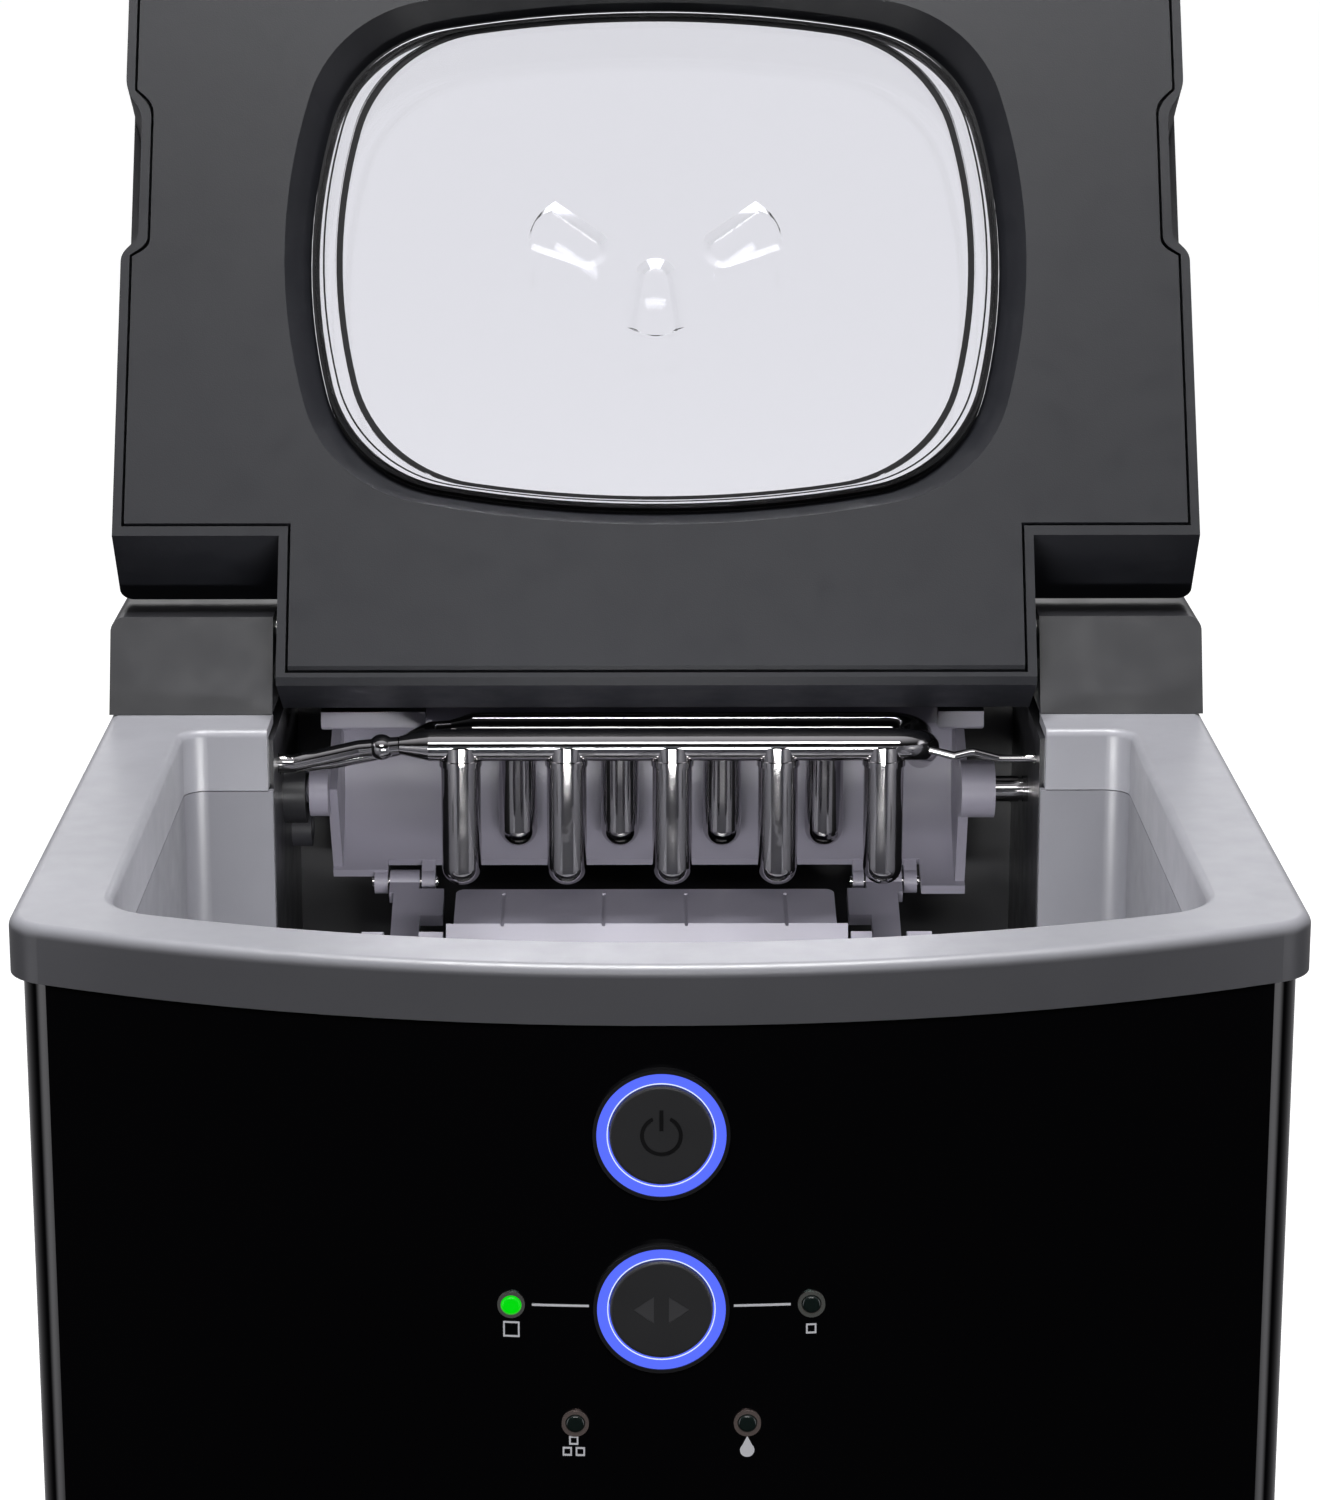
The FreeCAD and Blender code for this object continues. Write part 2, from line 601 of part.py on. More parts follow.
def notch_outline(side, depth, grow, z):
    """Plan of the finger grip in the lid's side; grow lengthens it at both ends."""
    y0 = LID_SHOULDER + NOTCH_FRONT - grow
    y1 = LID_SHOULDER + NOTCH_REAR + grow
    ya = y0 + NOTCH_FRONT_RAMP
    yb = y1 - NOTCH_REAR_RAMP
    edge, inner, outside = [side * x for x in (LID_HALF, LID_HALF - depth, LID_HALF + 4.0)]
    return Part.Wire([s_curve(edge, y0, inner, ya, z),
                      Part.makeLine(V(inner, ya, z), V(inner, yb, z)),
                      s_curve(inner, yb, edge, y1, z),
                      Part.makeLine(V(edge, y1, z), V(outside, y1, z)),
                      Part.makeLine(V(outside, y1, z), V(outside, y0, z)),
                      Part.makeLine(V(outside, y0, z), V(edge, y0, z))])


def notch_block(side, depth, grow, z0, z1):
    return Part.Face(notch_outline(side, depth, grow, z0)).extrude(V(0, 0, z1 - z0))


def finger_notch(side):
    """Grip scooped in the lid's side, deepest at the lower edge."""
    return Part.makeLoft([notch_outline(side, NOTCH_DEPTH, 0.0, LID_UNDER - 0.5),
                          notch_outline(side, NOTCH_DEPTH_TOP, 0.0, LID_TOP - 3.0)], True)


def outer_window(grow, z0, z1):
    """Window in the lid's top, longer than the inner one towards the lid's free edge."""
    block = window_block(OUTER_WINDOW_HALF + grow, OUTER_WINDOW_END + grow, z0, z1)
    block.translate(V(0, 60.4 - OUTER_WINDOW_END, 0))
    return block


def lid_outer_shell():
    body = lid_block(0.0, LID_UNDER, LID_TOP, 0.0)
    hollow = lid_block(LID_WALL, LID_UNDER - 1, LID_TOP - 2.2, 2.2)
    notches = [finger_notch(-1), finger_notch(1)]
    pads = [notch_block(side, NOTCH_DEPTH + LID_WALL, 1.6, LID_UNDER, LID_TOP - 2.4).common(body)
            for side in (-1, 1)]
    shell = body.cut(hollow)
    shell = join([shell] + pads).cut(group(notches))
    bosses = [bar_x(76.0, 82.0, HINGE_Y, HINGE_Z, 3.9),
              bar_x(-82.0, -76.0, HINGE_Y, HINGE_Z, 3.9)]
    shell = join([shell] + bosses)
    shell = shell.cut(bar_x(-90, 90, HINGE_Y, HINGE_Z, HINGE_BORE_R))
    shell = shell.cut(outer_window(0.3, LID_TOP - 6, LID_TOP + 1))
    return swung_open(shell)


def lid_inner_panel():
    gap = LID_WALL + PANEL_GAP
    plate = lid_block(gap, LID_UNDER, LID_UNDER + 2.0, gap + 0.3)
    relief = [notch_block(side, NOTCH_DEPTH + gap, 2.2, LID_UNDER - 1, LID_UNDER + 5)
              for side in (-1, 1)]
    plate = plate.cut(group(relief))
    z1 = LID_UNDER + 7.0
    skirt = window_funnel(85.6, 67.4, LID_UNDER, 80.6, 63.0, z1)
    hole = window_funnel(83.6, 65.4, LID_UNDER - 0.01, 78.0, 60.4, z1 + 0.01)
    panel = join([plate, skirt]).cut(hole)
    return swung_open(panel)


def window_pane_inner():
    z = LID_UNDER + 4.6
    pane = window_block(76.9, 59.3, z + 0.4, z + 2.6)
    rim = window_block(76.9, 59.3, z - 0.8, z + 0.5).cut(window_block(72.4, 58.2, z - 1, z + 1))
    pane = join([pane, rim])
    thumbs = [thumb_recess(*place) for place in DIMPLE_PLACES]
    return swung_open(pane.cut(group(thumbs)))


def petal(shrink, z):
    """Outline of a dimple: round tip at the origin, straight sides, outer arc."""
    tip = 4.8 - shrink
    half = 6.5 - shrink
    shoulder = DIMPLE_LENGTH - 1.95
    return Part.Wire([arc3(V(-tip, 4.8, z), V(0, 4.8 - tip, z), V(tip, 4.8, z)),
                      Part.makeLine(V(tip, 4.8, z), V(half, shoulder, z)),
                      arc3(V(half, shoulder, z), V(0, DIMPLE_LENGTH, z), V(-half, shoulder, z)),
                      Part.makeLine(V(-half, shoulder, z), V(-tip, 4.8, z))])


def thumb_recess(angle, start):
    """Dimple in the pane with sloping sides and a steep outer arc."""
    z = LID_UNDER + 5.0
    dimple = Part.makeLoft([petal(-0.2, z - 0.1), petal(2.0, z + 1.1)], True)
    dimple.translate(V(0, start, 0))
    dimple.rotate(V(0, 0, 0), V(0, 0, 1), angle - 90.0)
    dimple.translate(V(0, WINDOW_Y + DIMPLE_CENTRE, 0))
    return dimple


def window_pane_outer():
    return swung_open(outer_window(0.0, LID_TOP - 2.1, LID_TOP - 0.1))


def window_gasket():
    z = LID_UNDER + 4.6
    line = window_block(72.2, 58.1, z - 0.2, z + 0.4).cut(window_block(70.8, 57.4, z - 1, z + 1))
    thread = window_block(75.2, 58.95, z - 1.1, z - 0.8).cut(window_block(74.8, 58.75, z - 2, z + 1))
    seat = window_block(77.9, 60.3, z + 2.6, z + 4.0).cut(window_block(76.2, 58.7, z, z + 6))
    edge = window_block(77.7, 60.1, z + 0.2, z + 2.6).cut(window_block(76.9, 59.3, z, z + 6))
    return swung_open(group([line, thread, join([seat, edge])]))


# ---------------------------------------------------------------- water tray
def polar(radius, degrees):
    a = math.radians(degrees)
    return TRAY_Y + radius * math.cos(a), TRAY_Z + radius * math.sin(a)


def sector(x0, x1, r0, r1, a0, a1):
    """Part of a ring about the tray pivot, between two angles."""
    mid = (a0 + a1) / 2.0
    pts = [V(x0, *polar(r0, a0)), V(x0, *polar(r1, a0)), V(x0, *polar(r1, mid)),
           V(x0, *polar(r1, a1)), V(x0, *polar(r0, a1)), V(x0, *polar(r0, mid))]
    edges = [Part.makeLine(pts[0], pts[1]), arc3(pts[1], pts[2], pts[3]),
             Part.makeLine(pts[3], pts[4]), arc3(pts[4], pts[5], pts[0])]
    return Part.Face(Part.Wire(edges)).extrude(V(x1 - x0, 0, 0))


def lug_plates():
    """X spans of the four hinge lugs along the tray's lower lip."""
    return [(-65.0, -61.9), (-54.1, -51.0), (45.5, 48.0), (57.3, 60.3)]


def water_tray():
    r0 = TRAY_INNER_R
    r1 = TRAY_INNER_R + TRAY_WALL
    wall = sector(TRAY_LEFT, TRAY_RIGHT, r0, r1, -53.5, 28.5)
    lobes = [sector(TRAY_LEFT, -61.9, r0, r1, -60.5, -53.0),
             sector(61.0, TRAY_RIGHT, r0, r1, -74.0, -53.0)]
    ends = []
    for x0, x1, low in ((TRAY_LEFT, TRAY_LEFT + 2.2, -58.0),
                        (TRAY_RIGHT - 2.2, TRAY_RIGHT, -70.0)):
        web = [(TRAY_Y, TRAY_Z), polar(r0 + 1, low), polar(r0 + 1, -35.0), polar(r0 + 1, -12.0),
               polar(r0 + 1, 12.0), polar(r0 + 1, 28.0)]
        ends.append(prism_x(web, x0, x1))
    flange_z = COLLAR_TOP - 8.0
    y1 = EAR_FOOT_Y + 50.0
    flange = box(TRAY_LEFT - 2.5, TRAY_RIGHT + 4.5, EAR_FOOT_Y + 39.8, y1, flange_z - 2.2, flange_z)
    flange = flange.makeFillet(1.0, [e for e in level_edges(flange, flange_z)
                                     if e.BoundBox.YMin > y1 - 0.5])
    rims = []
    for x0, x1 in ((TRAY_LEFT - 2.5, -53.0), (65.0, TRAY_RIGHT + 4.5)):
        rims.append(box(x0, x1, EAR_FOOT_Y + 35.0, EAR_FOOT_Y + 40.0, flange_z - 2.2, flange_z))
        lip = box(x0, x1, EAR_FOOT_Y + 35.0, EAR_FOOT_Y + 37.4, flange_z - 4.3, flange_z)
        rims.append(lip.makeFillet(0.8, level_edges(lip, flange_z - 4.3)))
    skirt = box(TRAY_LEFT, TRAY_RIGHT, EAR_FOOT_Y + 40.0, EAR_FOOT_Y + 42.0, flange_z - 4.0, flange_z)
    hubs = [bar_x(TRAY_LEFT - 3.7, TRAY_LEFT + 0.5, TRAY_Y, TRAY_Z, 6.0),
            bar_x(-83.4, TRAY_LEFT, TRAY_Y, TRAY_Z, 3.0),
            bar_x(TRAY_RIGHT - 2.2, TRAY_RIGHT + 5.4, TRAY_Y, TRAY_Z, 6.5)]
    lugs = []
    ay, az = polar(LUG_RADIUS, LUG_ANGLE)
    for x0, x1 in lug_plates():
        web = [polar(r0 + 0.4, -53.6), polar(r1 - 0.4, -50.0), polar(32.2, -58.0),
               polar(31.0, -63.5), polar(r0 + 1.2, -62.0)]
        lugs.append(join([prism_x(web, x0, x1), bar_x(x0, x1, ay, az, 2.8)]))
    tray = join([wall] + lobes + ends + [flange] + rims + [skirt] + hubs + lugs)
    bores = [bar_x(TRAY_RIGHT, TRAY_RIGHT + 6, TRAY_Y, TRAY_Z, 2.95),
             bar_x(-66, 62, ay, az, 1.2)]
    return tray.cut(group(bores))


def tray_pins():
    """Steel drive pin in the right hub and the two pins of the link arms."""
    drive = bar_x(TRAY_RIGHT, 95.5, TRAY_Y, TRAY_Z, 2.95)
    groove = bar_x(82.0, 83.0, TRAY_Y, TRAY_Z, 4.0).cut(bar_x(81, 84, TRAY_Y, TRAY_Z, 2.6))
    y, z = polar(LUG_RADIUS, LUG_ANGLE)
    pins = [drive.cut(groove)]
    for (a0, a1), (b0, b1) in ((lug_plates()[0], lug_plates()[1]),
                               (lug_plates()[2], lug_plates()[3])):
        pins.append(bar_x(a0 - 0.6, b1 + 0.6, y, z, 1.2))
    return group(pins)


def link_frame(points, x0, x1):
    """Arm outline given as (distance along arm, offset) pairs."""
    ay, az = polar(LUG_RADIUS, LUG_ANGLE)
    by, bz = EAR_FOOT_Y + 3.8, COLLAR_TOP - 58.5
    length = math.hypot(by - ay, bz - az)
    ty, tz = (by - ay) / length, (bz - az) / length
    ny, nz = -tz, ty
    ring = [(ay + ty * s + ny * n, az + tz * s + nz * n) for s, n in points]
    return prism_x(ring, x0, x1)


def link_arms():
    arms = []
    y, z = polar(LUG_RADIUS, LUG_ANGLE)
    for neck0, neck1, wide0, wide1 in ((-61.4, -54.6, -60.4, -48.8), (48.5, 56.8, 44.0, 55.6)):
        eye = bar_x(neck0, neck1, y, z, 2.7)
        upper = link_frame([(0, -1.5), (0, 1.5), (6.0, 1.5), (6.0, -1.5)], neck0, neck1)
        plate = link_frame([(4.6, -1.5), (4.6, 1.5), (14.5, 1.5), (14.5, -1.5)], wide0, wide1)
        stem0 = wide0 if neck0 < 0 else wide1 - 6.4
        lower = link_frame([(14.0, -1.5), (14.0, 1.5), (30.0, 1.5), (30.0, -1.5)],
                           stem0, stem0 + 6.4)
        arm = join([eye, upper, plate, lower])
        arms.append(arm.cut(bar_x(neck0 - 1, neck1 + 1, y, z, 1.27)))
    return group(arms)


def ice_shovel():
    ty, tz = EAR_FOOT_Y + 18.0, COLLAR_TOP - 45.5
    ky, kz = EAR_FOOT_Y + 2.0, COLLAR_TOP - 48.8
    top = prism_x([(ty, tz), (ky, kz), (ky - 0.4, kz - 2.0), (ty, tz - 2.0)], -45.6, 40.5)
    corner = [e for e in top.Edges if e.BoundBox.XLength < 1e-3 and e.BoundBox.YLength < 1e-3
              and e.BoundBox.YMin > ty - 0.1]
    top = top.makeFillet(2.0, corner)
    apron = prism_x([(ky, kz), (ky - 1.6, kz - 6), (SHOVEL_Y - 4.4, SHOVEL_Z), (SHOVEL_Y, SHOVEL_Z),
                     (ky + 0.8, kz - 6), (ky + 1.2, kz - 2.0)], -47.3, 43.0)
    skirt = prism_x([(ky - 2.0, kz - 9), (SHOVEL_Y - 4.4, SHOVEL_Z), (SHOVEL_Y, SHOVEL_Z),
                     (ky + 0.6, kz - 9)], -66.2, 61.8)
    lugs = []
    for x0, x1 in ((-66.2, -61.4), (-53.4, -48.0), (43.7, 48.4), (56.3, 61.8)):
        lug = prism_x([(ky - 3.4, kz - 11.0), (ky - 4.6, kz - 5.0), (ky - 1.0, kz - 1.6),
                       (ky + 3.0, kz - 3.0), (ky + 3.6, kz - 11.0)], x0, x1)
        lugs.append(lug)
    barrel = bar_x(-69.0, 63.5, SHOVEL_Y, SHOVEL_Z, 4.4)
    trunnion = bar_x(-82.5, 82.5, SHOVEL_Y, SHOVEL_Z, 2.44)
    shovel = join([top, apron, skirt, barrel, trunnion] + lugs)
    grooves = []
    for x in (-34.7, -11.9, 6.7, 29.3):
        grooves.append(prism_x([(ty - 2.0, tz - 0.8), (ky - 2, kz - 1.0), (ky - 2, kz + 2),
                                (ty - 2.0, tz + 2)], x - 0.4, x + 0.4))
    low, high = SHOVEL_Z + 24.0, SHOVEL_Z + 40.0
    windows = [box(-61.3, -53.5, -10, 25, low, high), box(48.5, 56.2, -10, 25, low, high)]
    return shovel.cut(group(grooves + windows))


# ---------------------------------------------------------------- basket
def ice_basket():
    z0 = BIN_FLOOR + 0.4
    z1 = COLLAR_TOP - 70.0
    outer = basket_block(0.0, z0, z1)
    inner = basket_block(1.8, z0 + 1.8, z1 + 1)
    rim = basket_block(-3.0, z1 - 2.0, z1).cut(basket_block(0.5, z1 - 3, z1 + 1))
    basket = join([outer.cut(inner), rim])
    holes = []
    for i in range(9):
        for j in range(5):
            holes.append(box(-66 + 16 * i - 2, -66 + 16 * i + 2, -132 + 22 * j, -120 + 22 * j,
                             z0 - 1, z0 + 4))
    for i in range(9):
        x = -66 + 16 * i
        holes.append(box(x - 2, x + 2, -50, -20, z0 + 14, z0 + 40))
    return basket.cut(group(holes))


def basket_block(grow, z0, z1):
    front = 24.0 + grow
    half = 92.0 - grow
    bow = BOW_RADIUS - front
    rear = -26.0 - grow
    corner = 12.0
    cx = half - corner
    cy = BOW_CENTRE_Y - math.sqrt((bow - corner) ** 2 - cx ** 2)
    reach = bow / (bow - corner)
    tx = cx * reach
    ty = BOW_CENTRE_Y + (cy - BOW_CENTRE_Y) * reach
    diag = corner * math.sqrt(0.5)
    edges = [
        arc3(V(-tx, ty, z0), V(0, BOW_CENTRE_Y - bow, z0), V(tx, ty, z0)),
        arc3(V(tx, ty, z0), V(cx + diag, cy - diag, z0), V(half, cy, z0)),
        Part.makeLine(V(half, cy, z0), V(half, rear, z0)),
        Part.makeLine(V(half, rear, z0), V(-half, rear, z0)),
        Part.makeLine(V(-half, rear, z0), V(-half, cy, z0)),
        arc3(V(-half, cy, z0), V(-cx - diag, cy - diag, z0), V(-tx, ty, z0)),
    ]
    block = Part.Face(Part.Wire(Part.__sortEdges__(edges))).extrude(V(0, 0, z1 - z0))
    return block.makeFillet(10.0, [e for e in upright_edges(block) if e.BoundBox.YMax > rear - 0.01])


# ---------------------------------------------------------------- evaporator
def finger_places():
    front = [(EVAP_CENTRE_X + FINGER_PITCH * k, FRONT_ROW_Y, FRONT_BAR_Z) for k in range(-2, 3)]
    rear = [(EVAP_CENTRE_X + FINGER_PITCH * (k + 0.5), REAR_ROW_Y, REAR_BAR_Z)
            for k in range(-2, 2)]
    return front + rear


def evaporator_bar():
    loop = tube([(-50.5, FRONT_ROW_Y, FRONT_BAR_Z), (59.6, FRONT_ROW_Y, FRONT_BAR_Z),
                 (59.6, HINGE_Y + 0.4, REAR_BAR_Z - 1.7),
                 (59.6, REAR_ROW_Y, REAR_BAR_Z), (-42.0, REAR_ROW_Y, REAR_BAR_Z)], BAR_R, 6.0)
    tapers = []
    for x, y, z, run in ((-50.5, FRONT_ROW_Y, FRONT_BAR_Z, 6.5), (-42.0, REAR_ROW_Y, REAR_BAR_Z, 5.0)):
        tapers.append(Part.makeCone(BAR_R, 2.0, run, V(x, y, z), V(-1, 0, 0)))
    return loop.multiFuse(tapers)


def evaporator_fingers():
    bar = evaporator_bar()
    fingers = []
    for x, y, z in finger_places():
        finger = bar_z(FINGER_TIP, z, x, y, FINGER_R)
        finger = finger.makeFillet(4.1, level_edges(finger, FINGER_TIP))
        collar = bar_z(z - 4.6, z - 3.2, x, y, FINGER_R + 0.35)
        solid = finger.fuse(collar).cut(bar)
        fingers.append(max(solid.Solids, key=lambda s: s.Volume))
    return group(fingers)


def evaporator_inlets():
    y = EAR_FOOT_Y
    z = COLLAR_TOP
    upper = tube([(-57.0, y + 0.6, z - 7.0), (-66.0, y + 1.4, z - 8.0), (-80.5, y + 2.0, z - 11.4),
                  (-93.0, y + 2.0, z - 11.4), (-97.0, y + 30.0, z - 16.0),
                  (-97.0, y + 66.0, z - 20.0)], 1.9, 4.0)
    lower = tube([(-47.0, y + 32.4, z - 11.2), (-52.0, y + 30.0, z - 11.0), (-58.0, y + 10.0, z - 10.0),
                  (-72.0, y + 6.6, z - 12.0), (-80.5, y + 6.5, z - 13.0), (-90.0, y + 6.5, z - 13.0),
                  (-92.0, y + 34.0, z - 22.0), (-92.0, y + 66.0, z - 27.0)], 1.9, 3.0)
    crimp = Part.makeSphere(2.9, V(-61.0, y + 1.2, z - 7.6))
    return outside_bar(join([upper, crimp]).fuse(lower))


def outside_bar(shape):
    """What is left of a brazed-on tube outside the evaporator bar."""
    rest = shape.cut(evaporator_bar())
    return group([s for s in rest.Solids if s.Volume > 20.0])


def capillary_tube():
    y = EAR_FOOT_Y
    z = COLLAR_TOP
    points = [(60.6, y + 0.6, z - 8.2), (66.0, y - 0.4, z - 9.4), (70.0, y - 0.4, z - 8.4),
              (76.0, y - 0.4, z - 10.0), (87.1, y - 0.4, z - 10.0), (87.1, 110.0, z - 10.0),
              (96.0, 150.0, z - 24.0), (96.0, 150.0, 240.2)]
    return outside_bar(tube(points, 0.9, 1.6))


# ---------------------------------------------------------------- drive, water
def gear_motor():
    body = bar_x(88.2, 103.0, TRAY_Y, TRAY_Z, 22.0)
    body = body.makeFillet(1.5, [e for e in body.Edges if abs(e.BoundBox.XMin - 103.0) < 1e-3])
    boss = bar_x(86.2, 88.3, TRAY_Y, TRAY_Z, 6.0)
    ears = box(88.2, 89.6, TRAY_Y - 28, TRAY_Y + 28, TRAY_Z - 5, TRAY_Z + 5)
    plug = box(92.0, 100.0, TRAY_Y - 6, TRAY_Y + 6, TRAY_Z - 27, TRAY_Z - 20)
    motor = join([body, boss, ears, plug])
    return motor.cut(bar_x(80, 97, TRAY_Y, TRAY_Z, 3.05))


def water_pump():
    body = box(-88, -52, -136, -104, TANK_FLOOR + 2.2, TANK_FLOOR + 34)
    body = body.makeFillet(5.0, upright_edges(body))
    lid = bar_z(TANK_FLOOR + 34, TANK_FLOOR + 40, -70, -120, 12.0)
    port = bar_z(TANK_FLOOR + 40, TANK_FLOOR + 50, -70, -120, 4.0)
    return join([body, lid, port])


def pump_filter():
    cage = box(-50.5, -34, -134, -106, TANK_FLOOR + 2.2, TANK_FLOOR + 26)
    cage = cage.cut(box(-49.3, -35.2, -132.8, -107.2, TANK_FLOOR + 3.4, TANK_FLOOR + 24.8))
    cuts = []
    for k in range(6):
        z = TANK_FLOOR + 5 + 3.4 * k
        cuts.append(box(-36, -33, -131, -109, z, z + 1.8))
        cuts.append(box(-48, -37, -135, -105, z, z + 1.8))
    return cage.cut(group(cuts))


def pump_hose():
    z = TANK_FLOOR
    points = [(-70, -120, z + 44), (-70, -120, z + 68), (HOSE_X, -70, z + 72),
              (HOSE_X, 4.0, z + 72), (HOSE_X, 14.0, z + 90), (HOSE_X, 34.0, HOSE_END_Z - 12.0),
              (HOSE_X, HOSE_END_Y, HOSE_END_Z), (-79.5, HOSE_END_Y, HOSE_END_Z)]
    pipe = hose(points, HOSE_R, 1.4, 8.0)
    return pipe.cut(bar_z(z + 34, z + 50.2, -70, -120, 4.05))


def ice_sensors():
    eyes = []
    for side in (-1, 1):
        x0, x1 = sorted((side * 101.4, side * 103.0))
        lens = box(x0, x1, -58, -46, COLLAR_TOP - 48, COLLAR_TOP - 40)
        eyes.append(lens)
    return group(eyes)


def level_probes():
    block = box(-12, 12, SPACE_REAR - 12, SPACE_REAR - 4.2, TANK_TOP - 22, TANK_TOP - 8)
    rods = [bar_z(TANK_FLOOR + 12, TANK_TOP - 22, x, SPACE_REAR - 8, 1.2) for x in (-6.0, 6.0)]
    return join([block] + rods)


# ---------------------------------------------------------------- cooling


def compressor():
    x, y = COMPRESSOR_X, COMPRESSOR_Y
    can = bar_z(36, 142, x, y, 45.0)
    can = can.makeFillet(20.0, level_edges(can, 142))
    can = can.makeFillet(12.0, level_edges(can, 36))
    seam = bar_z(96, 99.5, x, y, 46.6)
    feet = [box(x - 42, x + 42, yy - 7, yy + 7, 31.0, 34.0) for yy in (92.0, 152.0)]
    risers = [box(x - 22, x + 22, yy - 7, yy + 7, 33.0, 45.0) for yy in (98.0, 146.0)]
    stubs = [bar_z(120, 152, x - 22, y - 12, 3.0), bar_z(120, 150, x - 6, y + 26, 2.6)]
    holes = [bar_z(25, 40, xx, yy, 4.2) for xx in (26.0, 94.0) for yy in (92.0, 152.0)]
    return join([can, seam] + feet + risers + stubs).cut(group(holes))


def compressor_mounts():
    mounts = []
    for x in (26.0, 94.0):
        for y in (92.0, 152.0):
            lower = bar_z(22.0, 31.0, x, y, 8.0)
            neck = bar_z(31.0, 34.0, x, y, 4.1)
            upper = bar_z(34.0, 36.5, x, y, 5.5)
            mounts.append(join([lower, neck, upper]))
    return group(mounts)


def terminal_cover():
    x, y = COMPRESSOR_X, COMPRESSOR_Y
    cover = box(x + 38, x + 56, y - 18, y + 18, 70, 112)
    cover = cover.makeFillet(3.0, upright_edges(cover))
    return cover.cut(bar_z(60, 120, x, y, 47.0))


FIN_X0, FIN_X1 = -110.0, -72.0


def condenser_fins():
    fins = []
    bores = []
    for x in COIL_ROWS:
        for k in range(5):
            bores.append(bar_y(70, 170, x, COIL_FIRST_Z + COIL_PITCH * k, 3.3))
    blank = box(FIN_X0, FIN_X1, 0, 0.5, 34, 154)
    for k in range(18):
        fin = blank.copy()
        fin.translate(V(0, 86.0 + 4.0 * k, 0))
        fins.append(fin)
    plates = [box(FIN_X0, FIN_X1, y, y + 1.2, 32, 156) for y in (82.6, 157.2)]
    return group(fins + plates).cut(group(bores))


def condenser_coil():
    return group([serpentine(x) for x in COIL_ROWS])


def serpentine(x):
    """One tube row that zigzags upward through the fin block."""
    near, far, stub = 74.0, 167.0, 73.0
    points = [(x, stub, COIL_FIRST_Z)]
    edge = far
    for k in range(4):
        z = COIL_FIRST_Z + COIL_PITCH * k
        points.append((x, edge, z))
        points.append((x, edge, z + COIL_PITCH))
        edge = near if edge == far else far
    points.append((x, edge, COIL_FIRST_Z + 4 * COIL_PITCH))
    return tube(points, 3.2, 8.0)


def fan_shroud():
    plate = box(-70.5, -68.5, 76, 168, 34, 154)
    duct = bar_x(-70.5, -46.0, FAN_Y, FAN_Z, 45.0)
    bore = bar_x(-72, -45, FAN_Y, FAN_Z, 43.0)
    arms = []
    for k in range(3):
        arm = box(-49.0, -46.0, FAN_Y - 3, FAN_Y + 3, FAN_Z, FAN_Z + 44)
        arm.rotate(V(0, FAN_Y, FAN_Z), V(1, 0, 0), 120 * k)
        arms.append(arm)
    seat = bar_x(-49.0, -46.0, FAN_Y, FAN_Z, 16.0)
    shroud = join([plate, duct]).cut(bore)
    shroud = join([shroud, seat] + arms)
    return shroud.cut(bar_x(-50, -45, FAN_Y, FAN_Z, 3.4))


def fan_motor():
    can = bar_x(-46.0, -27.0, FAN_Y, FAN_Z, 15.0)
    can = can.makeFillet(2.0, [e for e in can.Edges if abs(e.BoundBox.XMin + 27.0) < 1e-3])
    boss = bar_x(-49.6, -46.0, FAN_Y, FAN_Z, 3.2)
    shaft = bar_x(-66.0, -49.0, FAN_Y, FAN_Z, 1.5)
    return join([can, boss, shaft])


def fan_blade():
    hub = bar_x(-64.0, -51.0, FAN_Y, FAN_Z, 11.0)
    hub = hub.makeFillet(2.0, [e for e in hub.Edges if abs(e.BoundBox.XMax + 64.0) < 1e-3])
    blades = []
    for k in range(7):
        root = Part.makePolygon([V(-63.0, FAN_Y - 5, FAN_Z + 9.5), V(-61.2, FAN_Y - 5, FAN_Z + 9.5),
                                 V(-52.0, FAN_Y + 5, FAN_Z + 9.5), V(-53.8, FAN_Y + 5, FAN_Z + 9.5),
                                 V(-63.0, FAN_Y - 5, FAN_Z + 9.5)])
        tip = Part.makePolygon([V(-61.5, FAN_Y - 14, FAN_Z + 39.5), V(-60.3, FAN_Y - 14, FAN_Z + 39.5),
                                V(-53.0, FAN_Y + 10, FAN_Z + 39.5), V(-54.2, FAN_Y + 10, FAN_Z + 39.5),
                                V(-61.5, FAN_Y - 14, FAN_Z + 39.5)])
        blade = Part.makeLoft([root, tip], True)
        blade.rotate(V(0, FAN_Y, FAN_Z), V(1, 0, 0), 360.0 * k / 7)
        blades.append(blade)
    fan = join([hub] + blades)
    return fan.cut(bar_x(-66.5, -50, FAN_Y, FAN_Z, 1.56))


def filter_drier():
    can = bar_z(170, 232, 96.0, 150.0, 8.0)
    can = can.makeFillet(5.0, level_edges(can, 170) + level_edges(can, 232))
    ends = [bar_z(162, 172, 96.0, 150.0, 2.6), bar_z(230, 240, 96.0, 150.0, 1.6)]
    return join([can] + ends)


def hot_gas_valve():
    body = bar_z(176, 196, 20.0, 118.0, 7.0)
    stem = bar_z(196, 204, 20.0, 118.0, 4.0)
    stub = bar_x(6, 34, 118.0, 184.0, 3.2)
    return join([body, stem, stub])


def valve_coil():
    coil = box(8, 32, 107, 129, 204, 228)
    return coil.makeFillet(4.0, upright_edges(coil))


